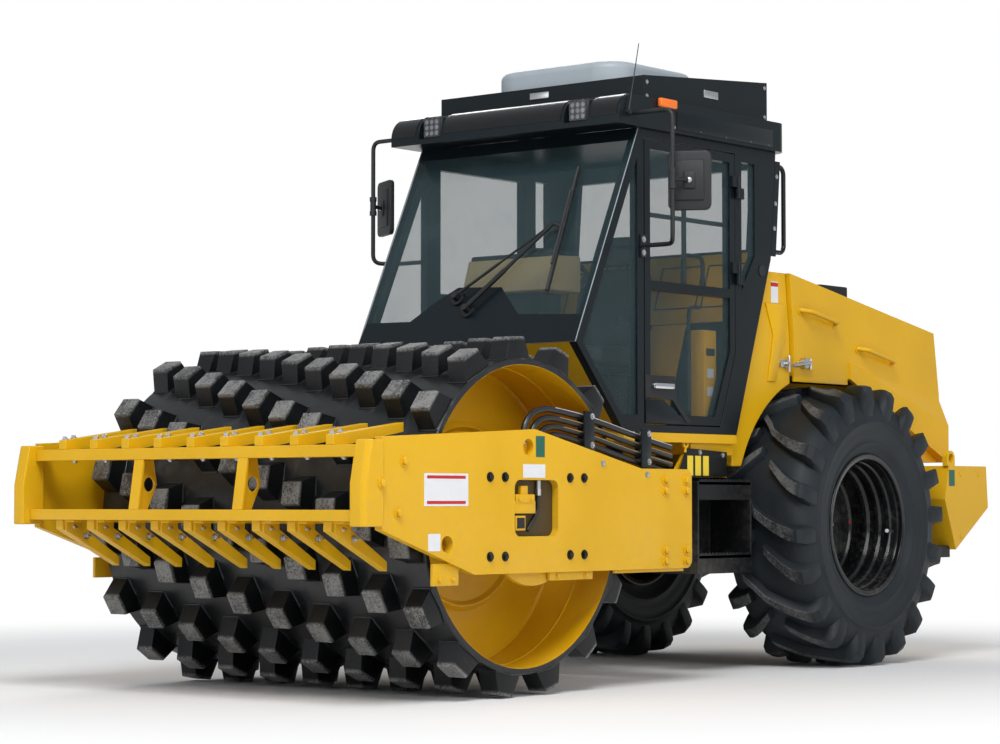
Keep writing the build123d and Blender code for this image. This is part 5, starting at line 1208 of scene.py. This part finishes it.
def console():
    """The stand's cover and dark top, the steering wheel and two screws."""
    stand = {"slot": "black_plastic", "replaces": ("steering_stand",)}
    cover = ((behind(1.205), 2.050), (behind(1.265), 2.240), (CONSOLE_BACK, 2.250), (CONSOLE_BACK, 2.050))
    drawn("console_cover", "beige_plastic", [(slab, [(x, -0.350, z) for x, z in cover], (0, 0.600, 0))],
          edge=0.012, segments=3, **stand)
    top = ((behind(1.262), 2.236), (behind(1.270), 2.262), (CONSOLE_BACK, 2.262), (CONSOLE_BACK, 2.240))
    keys = [(block, (behind(1.44), y - 0.045, 2.255), (behind(1.36), y + 0.045, 2.266)) for y in (-0.2, 0.0, 0.2)]
    drawn("console_top", "black_plastic", [(slab, [(x, -0.330, z) for x, z in top], (0, 0.560, 0))], edge=0.008,
          after=[(block, (CONSOLE_BACK, -0.110, CAB_FLOOR), (behind(1.300), 0.110, 2.055)), *keys,
                 (rod, COLUMN_FOOT, WHEEL_TOP, 0.030)], **stand)
    up = (WHEEL_TOP - COLUMN_FOOT).normalized()
    place = along(WHEEL_TOP - up * 0.001, WHEEL_TOP + up * 0.001)
    spots = {turn: place @ Vector((cos(radians(turn)), sin(radians(turn)), 0)) - WHEEL_TOP
             for turn in range(0, 361, 6)}
    rows = [(rod, WHEEL_TOP + spots[turn] * WHEEL_R, WHEEL_TOP + spots[turn + 12] * WHEEL_R, 0.0135, 12)
            for turn in range(0, 360, 12)]
    rows += [(rod, WHEEL_TOP, WHEEL_TOP + spots[turn] * 0.185, 0.012, 10, 0.008) for turn in (90, 210, 330)]
    drawn("steering_wheel", "black_plastic",
          rows + [(rod, WHEEL_TOP - up * 0.02, WHEEL_TOP + up * 0.025, 0.042, 24)], **stand)
    drawn("console_screws", "zinc", [(bolt, (behind(1.217), y, 2.085), (1, 0, 0.3), 0.007, 0.004)
                                     for y in (-0.30, 0.20)], "black_plastic")


def on_lining(z, out=0.0):
    """X of the back wall's lining at a height, or so far in front of it."""
    return LINING_X + LINING_LEAN * (z - CAB_FLOOR) + out


def linings():
    """Yellow lining of the back wall with framed panels, and the side console."""
    rows = []
    for y0, y1, z0, z1 in ((-0.660, 0.660, 1.93, 2.325), (0.060, 0.300, 1.35, 1.926)):
        outline = ((0.0, z0), (0.0, z1), (0.012, z1), (0.012, z0))
        rows.append((slab, [(on_lining(z, out), y0, z) for out, z in outline], (0, y1 - y0, 0)))
    drawn("cab_linings", "yellow_paint",
          rows + [(block, (behind(2.14), 0.600, 1.345), (behind(2.02), 0.690, 1.860))], edge=0.006)
    rows = []
    for y0, y1 in ((0.06, 0.34), (0.38, 0.64), (-0.60, -0.10)):
        corners = [(on_lining(z, 0.014), y, z) for y, z in
                   ((y0, 2.02), (y1, 2.02), (y1, 2.26), (y0, 2.26), (y0, 2.02))]
        rows += [(rod, a, b, 0.004, 8) for a, b in zip(corners, corners[1:])]
    drawn("lining_seals", "black_plastic",
          rows + [(block, (behind(2.20), -0.69, 1.295), (behind(1.60), -0.46, 1.90)),
                  (block, (behind(2.12), 0.6905, 1.72), (behind(2.04), 0.6925, 1.76))], edge=0.002)
    drawn("lining_labels", "white_film", [(block, (behind(2.11), 0.6905, z), (behind(2.05), 0.6915, z + 0.05))
                                          for z in (1.50, 1.60)], "yellow_paint")


class BuildCabInside(bpy.types.Operator):
    """Seat, console, steering wheel and yellow linings"""
    bl_idname = "compactor.cab_inside"
    bl_label = "Cab inside"

    def execute(self, context):
        seat()
        console()
        linings()
        return {"FINISHED"}


# ---- Roof lamps, mirrors, antenna

def lamps():
    """Two work lamps at the roof's brow and an amber marker on each side of it."""
    front, middle = behind(1.120) - 0.014, 0.505
    cells = [Vector((front - 0.013, middle + column * 0.034, 2.976 + row * 0.031))
             for column in (-1, 0, 1) for row in (-1, 0, 1)]
    lamp = {"slot": "lamp_glass", "replaces": ("roof_lamps",)}
    drawn("lamp_housings", "black_plastic", [], edge=0.012, segments=3, both=[
        (block, (front - 0.078, 0.440, 2.915), (front - 0.012, 0.570, 3.037)),
        (block, (front - 0.05, middle - 0.02, 2.90), (front - 0.03, middle + 0.02, 2.92))], **lamp)
    drawn("lamp_lenses", "lamp_glass", [], edge=0.006,
          both=[(block, (front - 0.014, 0.448, 2.923), (front, 0.562, 3.029))], **lamp)
    near, far = Vector((0.006, 0, 0)), Vector((0.009, 0, 0))
    drawn("lamp_cells", "chrome_rod", [], "lamp_glass",
          both=[(rod, spot - near, spot + far, 0.006, 12, 0.013) for spot in cells])
    drawn("marker_lamps", "amber", [], edge=0.008, segments=3,
          both=[(block, (behind(1.612), 0.787, 3.008), (behind(1.462), 0.813, 3.055))], **lamp)
    drawn("marker_feet", "black_plastic", [],
          both=[(block, (behind(1.612), 0.784, 3.004), (behind(1.462), 0.788, 3.052))])


def mirror_head(bm):
    """A mirror's shell with the mount on its back, which faces forwards along X, alone in the mesh."""
    block(bm, (-0.017, -0.112, -0.155), (0.011, 0.112, 0.155))
    bevelled(bm, [edge for edge in bm.edges if abs(edge.verts[0].co.x - edge.verts[1].co.x) > 0.02], 0.032, 5)
    block(bm, (0.008, -0.076, -0.105), (0.020, 0.076, 0.105))
    block(bm, (0.017, -0.03, -0.045), (0.030, 0.03, 0.045))
    soften(bm, 0.007, 3, 40)


def mirrors():
    """A pole on each side with its sleeves and the turned head."""
    x, y, high, low = behind(1.250), 1.035, 2.950, 2.265
    middle = Vector((behind(1.375), 1.055, 2.588))
    place = Matrix.Translation(middle) @ Matrix.Rotation(radians(29.4), 4, "Z")
    stand = {"replaces": ("mirrors",)}
    pole = [(x, 0.780, high), (x, y, high), (x, y, low),
            (behind(1.360), y - 0.095, low), (behind(1.360), 0.752, low)]
    # columns: half height and middle of a sleeve on the pole, its radius
    sleeves = ((0.012, -0.04, 0.02), (0.012, 0.04, 0.02), (0.05, 0.0, 0.017))
    drawn("mirror_arms", "black_plastic", [], both=[
        (bent_bar, pole, 0.012, 0.05), (rod, (x, y, middle.z), place @ Vector((0.02, 0, 0)), 0.011, 14),
        *((rod, (x, y, middle.z + z - half), (x, y, middle.z + z + half), radius, 16) for half, z, radius in sleeves),
        ], **stand)
    drawn("mirror_heads", "black_plastic", [], both=[(laid, place, (mirror_head,))], **stand)
    drawn("mirror_glass", "mirror", [], "black_plastic",
          both=[(laid, place, (block, (-0.0185, -0.100, -0.143), (-0.0165, 0.100, 0.143)))])
    drawn("mirror_studs", "zinc", [], "black_plastic",
          both=[(bolt, place @ Vector((0.030, 0, 0)), place.to_3x3() @ Vector((1, 0, 0)), 0.010, 0.008)])


def antenna():
    foot, lean = Vector((behind(1.190), 0.799, 2.950)), Vector((-0.092, 0, 0.370))
    drawn("antenna_whip", "black_plastic",
          [(rod, (foot.x, 0.785, foot.z), (foot.x, 0.812, foot.z), 0.014, 16),
           (rod, foot, foot + lean * 0.22, 0.007, 12, 0.0045),
           (rod, foot + lean * 0.2, foot + lean * 0.997, 0.0035, 10, 0.0022)], replaces=("antenna",))


class BuildOutfit(bpy.types.Operator):
    """Work lamps, markers, mirrors and antenna"""
    bl_idname = "compactor.outfit"
    bl_label = "Lamps and mirrors"

    def execute(self, context):
        lamps()
        mirrors()
        antenna()
        return {"FINISHED"}


# ---- Hood and tank

EXHAUST_RAISE = 0.045
# ends of the pull bars: X ahead of the drum's axis, height
HANDLES = (((-2.930, 2.015), (-3.290, 1.955)), ((-3.545, 1.822), (-3.925, 1.755)))
TANK_FOLD = ((2.60, 2.04), (2.80, 2.04), (2.80, 1.86), (2.70, 1.60), (2.62, 1.60), (2.68, 1.86))


def exhaust():
    """The outlet, with its top raised to the height it shows over the bonnet."""
    node = "exhaust_outlet"
    bm = copied(node)
    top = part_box(node)[1].z
    for vert in bm.verts:
        if vert.co.z > top - 0.012:
            vert.co.z += EXHAUST_RAISE
    soften(bm, 0.008)
    bevel_flats(piece(node + "_shown", bm, SLOTS[node], SLOTS[node], BODIES[node], (node,)))


def hood_fittings(side):
    """Folded lip over the tyre, two long pull bars and the hook of the draw latch."""
    where = ("yellow_paint", "hood_body", side)
    y = HOOD_HALF
    drawn("hood_skirt", "yellow_paint", [(block, (behind(3.440), y - 0.018, 1.606), (behind(2.872), y, 1.642))],
          *where, 0.003)
    rows, out = [], Vector((0, 0.050, 0))
    for ends in HANDLES:
        a, b = (Vector((DRUM.x + x, y, z)) for x, z in ends)
        inwards = (b - a) * 0.12
        rows.append((bent_bar, [a, a + out * 0.25, a + out + inwards, b + out - inwards, b + out * 0.25, b],
                     0.0145, 0.03, 14))
        rows += [(rod, end, end + out * 0.1, 0.026, 20) for end in (a, b)]
    drawn("hood_handles", "yellow_paint", rows, *where)
    x, z = behind(2.90), 1.705
    drawn("latch_hook", "zinc",
          [(rod, (x - 0.05, y, z + 0.008), (x - 0.05, y + 0.034, z + 0.008), 0.030, 20),
           (rod, (x - 0.095, y + 0.026, z + 0.012), (x + 0.075, y + 0.026, z - 0.010), 0.012, 12),
           (rod, (x - 0.105, y + 0.022, z + 0.036), (x - 0.105, y + 0.022, z - 0.026), 0.009, 10),
           (rod, (x - 0.105, y, z + 0.006), (x - 0.105, y + 0.024, z + 0.006), 0.012, 12)], *where)


def tank_fittings(side):
    """The latch's keeper, blank labels and a folded edge on the tank's side."""
    where = {"slot": "yellow_paint", "side": side}
    x, y, z = behind(2.775), TANK_HALF, 1.705
    drawn("latch_keeper", "zinc",
          [(block, (x - 0.045, y, z - 0.020), (x + 0.030, y + 0.012, z + 0.024)),
           (rod, (x - 0.03, y, z), (x - 0.03, y + 0.036, z), 0.013, 16),
           (rod, (x - 0.03, y + 0.028, z - 0.048), (x - 0.03, y + 0.028, z + 0.048), 0.009, 10)], edge=0.002, **where)
    drawn("tank_labels", "white_film",
          [(block, (behind(2.735), y, 2.045), (behind(2.665), y + 0.0016, 2.165)),
           (block, (behind(2.765), y, 1.855), (behind(2.700), y + 0.0016, 1.895))], **where)
    drawn("tank_label_stripe", "red",
          [(block, (behind(2.735), y, 2.137), (behind(2.665), y + 0.0022, 2.160))], **where)
    drawn("tank_fold", "yellow_paint", [(slab, [(behind(back), y, z) for back, z in TANK_FOLD], (0, 0.010, 0))],
          edge=0.004, **where)


class BuildHood(bpy.types.Operator):
    """Hood with handles, latch, outlet and grille, and the tank ahead of it"""
    bl_idname = "compactor.hood"
    bl_label = "Hood and tank"

    def execute(self, context):
        panel = sizes().panel_edge
        rounded(hood=panel * 2, rear_grille=0.002, tank=panel, engine_block=0.01)
        exhaust()
        for side in SIDES:
            hood_fittings(side)
            tank_fittings(side)
        return {"FINISHED"}


# ---- Floor, light and camera

# columns: name, power, width, place
SOFTBOXES = (
    ("key_softbox", 1000.0, 5.0, (7.0, 5.0, 10.0)), ("fill_softbox", 340.0, 6.0, (2.0, 11.0, 5.5)),
    ("back_softbox", 420.0, 6.0, (-8.0, -6.0, 8.0)), ("front_softbox", 130.0, 5.0, (11.0, -3.0, 4.5)),
)


def studio_floor():
    """A pale matt floor that fades into the white around it."""
    bm = bmesh.new()
    bmesh.ops.create_grid(bm, x_segments=1, y_segments=1, size=60)
    mesh = kept(bm, "floor")
    floor = bpy.data.objects.new("floor", mesh)
    bpy.context.scene.collection.objects.link(floor)
    made, place = new_material("pale_floor")
    tone = mixed(noise(place, 0.8, 2), (0.80, 0.80, 0.80), (0.83, 0.83, 0.83))
    matt = place.node("BsdfPrincipled", {}, {"Base Color": tone, "Roughness": 0.9})
    bright = place.node("Emission", {}, {"Color": (1.0, 1.0, 1.0), "Strength": 1.0})
    far = rise(place.node("VectorMath", {"operation": "LENGTH"}, {0: place}, out=1), 3.6, 7.5)
    place.node("MixShader", {}, {0: far, 1: matt, 2: bright}).ends_at("OutputMaterial")
    mesh.materials.append(made)


def studio_world(scene):
    """White to the camera, to gloss and through glass, and a plain grey light on everything else."""
    world = scene.world or bpy.data.worlds.new("studio")
    scene.world = world
    world.use_nodes = True
    tree = world.node_tree
    tree.nodes.clear()
    rays = tree.nodes.new("ShaderNodeLightPath").outputs
    seen, through, gloss = (Signal(tree, rays[f"Is {kind} Ray"]) for kind in ("Camera", "Transmission", "Glossy"))
    white = seen.sum("MAXIMUM", seen, through)
    tone = mixed(white, mixed(gloss, (0.36, 0.37, 0.39), (0.42, 0.44, 0.46)), (1.0, 1.0, 1.0))
    seen.node("Background", {}, {"Color": tone, "Strength": 1.0}).ends_at("OutputWorld")


class BuildStage(bpy.types.Operator):
    """Pale floor, soft studio light and the camera"""
    bl_idname = "compactor.stage"
    bl_label = "Stage"

    def execute(self, context):
        scene = context.scene
        scene.view_settings.view_transform = "Standard"
        studio_floor()
        studio_world(scene)
        for name, energy, size, place in SOFTBOXES:
            light = bpy.data.lights.new(name, "AREA")
            light.shape, light.size, light.energy = "DISK", size, energy
            lamp = bpy.data.objects.new(name, light)
            lamp.location = place
            lamp.rotation_euler = (Vector((0, 0, 1.2)) - Vector(place)).to_track_quat("-Z", "Y").to_euler()
            scene.collection.objects.link(lamp)
        data = bpy.data.cameras.new("camera")
        data.sensor_width, data.lens, data.clip_end = 36.0, 96.64, 200.0
        camera = bpy.data.objects.new("camera", data)
        camera.location = (11.630, 9.051, 0.923)
        camera.rotation_euler = (radians(90 + 2.777), 0, radians(219.25 - 90))
        scene.collection.objects.link(camera)
        scene.camera = camera
        return {"FINISHED"}


class CompactorPanel(bpy.types.Panel):
    """Lists the machine's groups of pieces"""
    bl_idname = "VIEW3D_PT_compactor"
    bl_label = "Soil compactor"
    bl_space_type = "VIEW_3D"
    bl_region_type = "UI"
    bl_category = "Compactor"

    def draw(self, context):
        for group in (context.scene.compactor_colours, context.scene.compactor_sizes):
            for name in group.__annotations__:
                self.layout.prop(group, name)
        for builder in BUILDERS:
            self.layout.operator(builder.bl_idname)


BUILDERS = (BuildStage, BuildFrontFrame, BuildDrum, BuildHoses, BuildSteering, BuildRearFrame, BuildTyres,
            BuildCab, BuildCabInside, BuildOutfit, BuildHood)
CLASSES = (CompactorColours, CompactorSizes) + BUILDERS + (CompactorPanel,)


def register():
    for one in CLASSES:
        bpy.utils.register_class(one)
    bpy.types.Scene.compactor_colours = bpy.props.PointerProperty(type=CompactorColours)
    bpy.types.Scene.compactor_sizes = bpy.props.PointerProperty(type=CompactorSizes)


def unregister():
    del bpy.types.Scene.compactor_colours, bpy.types.Scene.compactor_sizes
    for one in reversed(CLASSES):
        bpy.utils.unregister_class(one)


def main():
    register()
    for builder in BUILDERS:
        group, name = builder.bl_idname.split(".")
        getattr(getattr(bpy.ops, group), name)()
    bpy.context.view_layer.update()


if __name__ == "__main__":
    main()
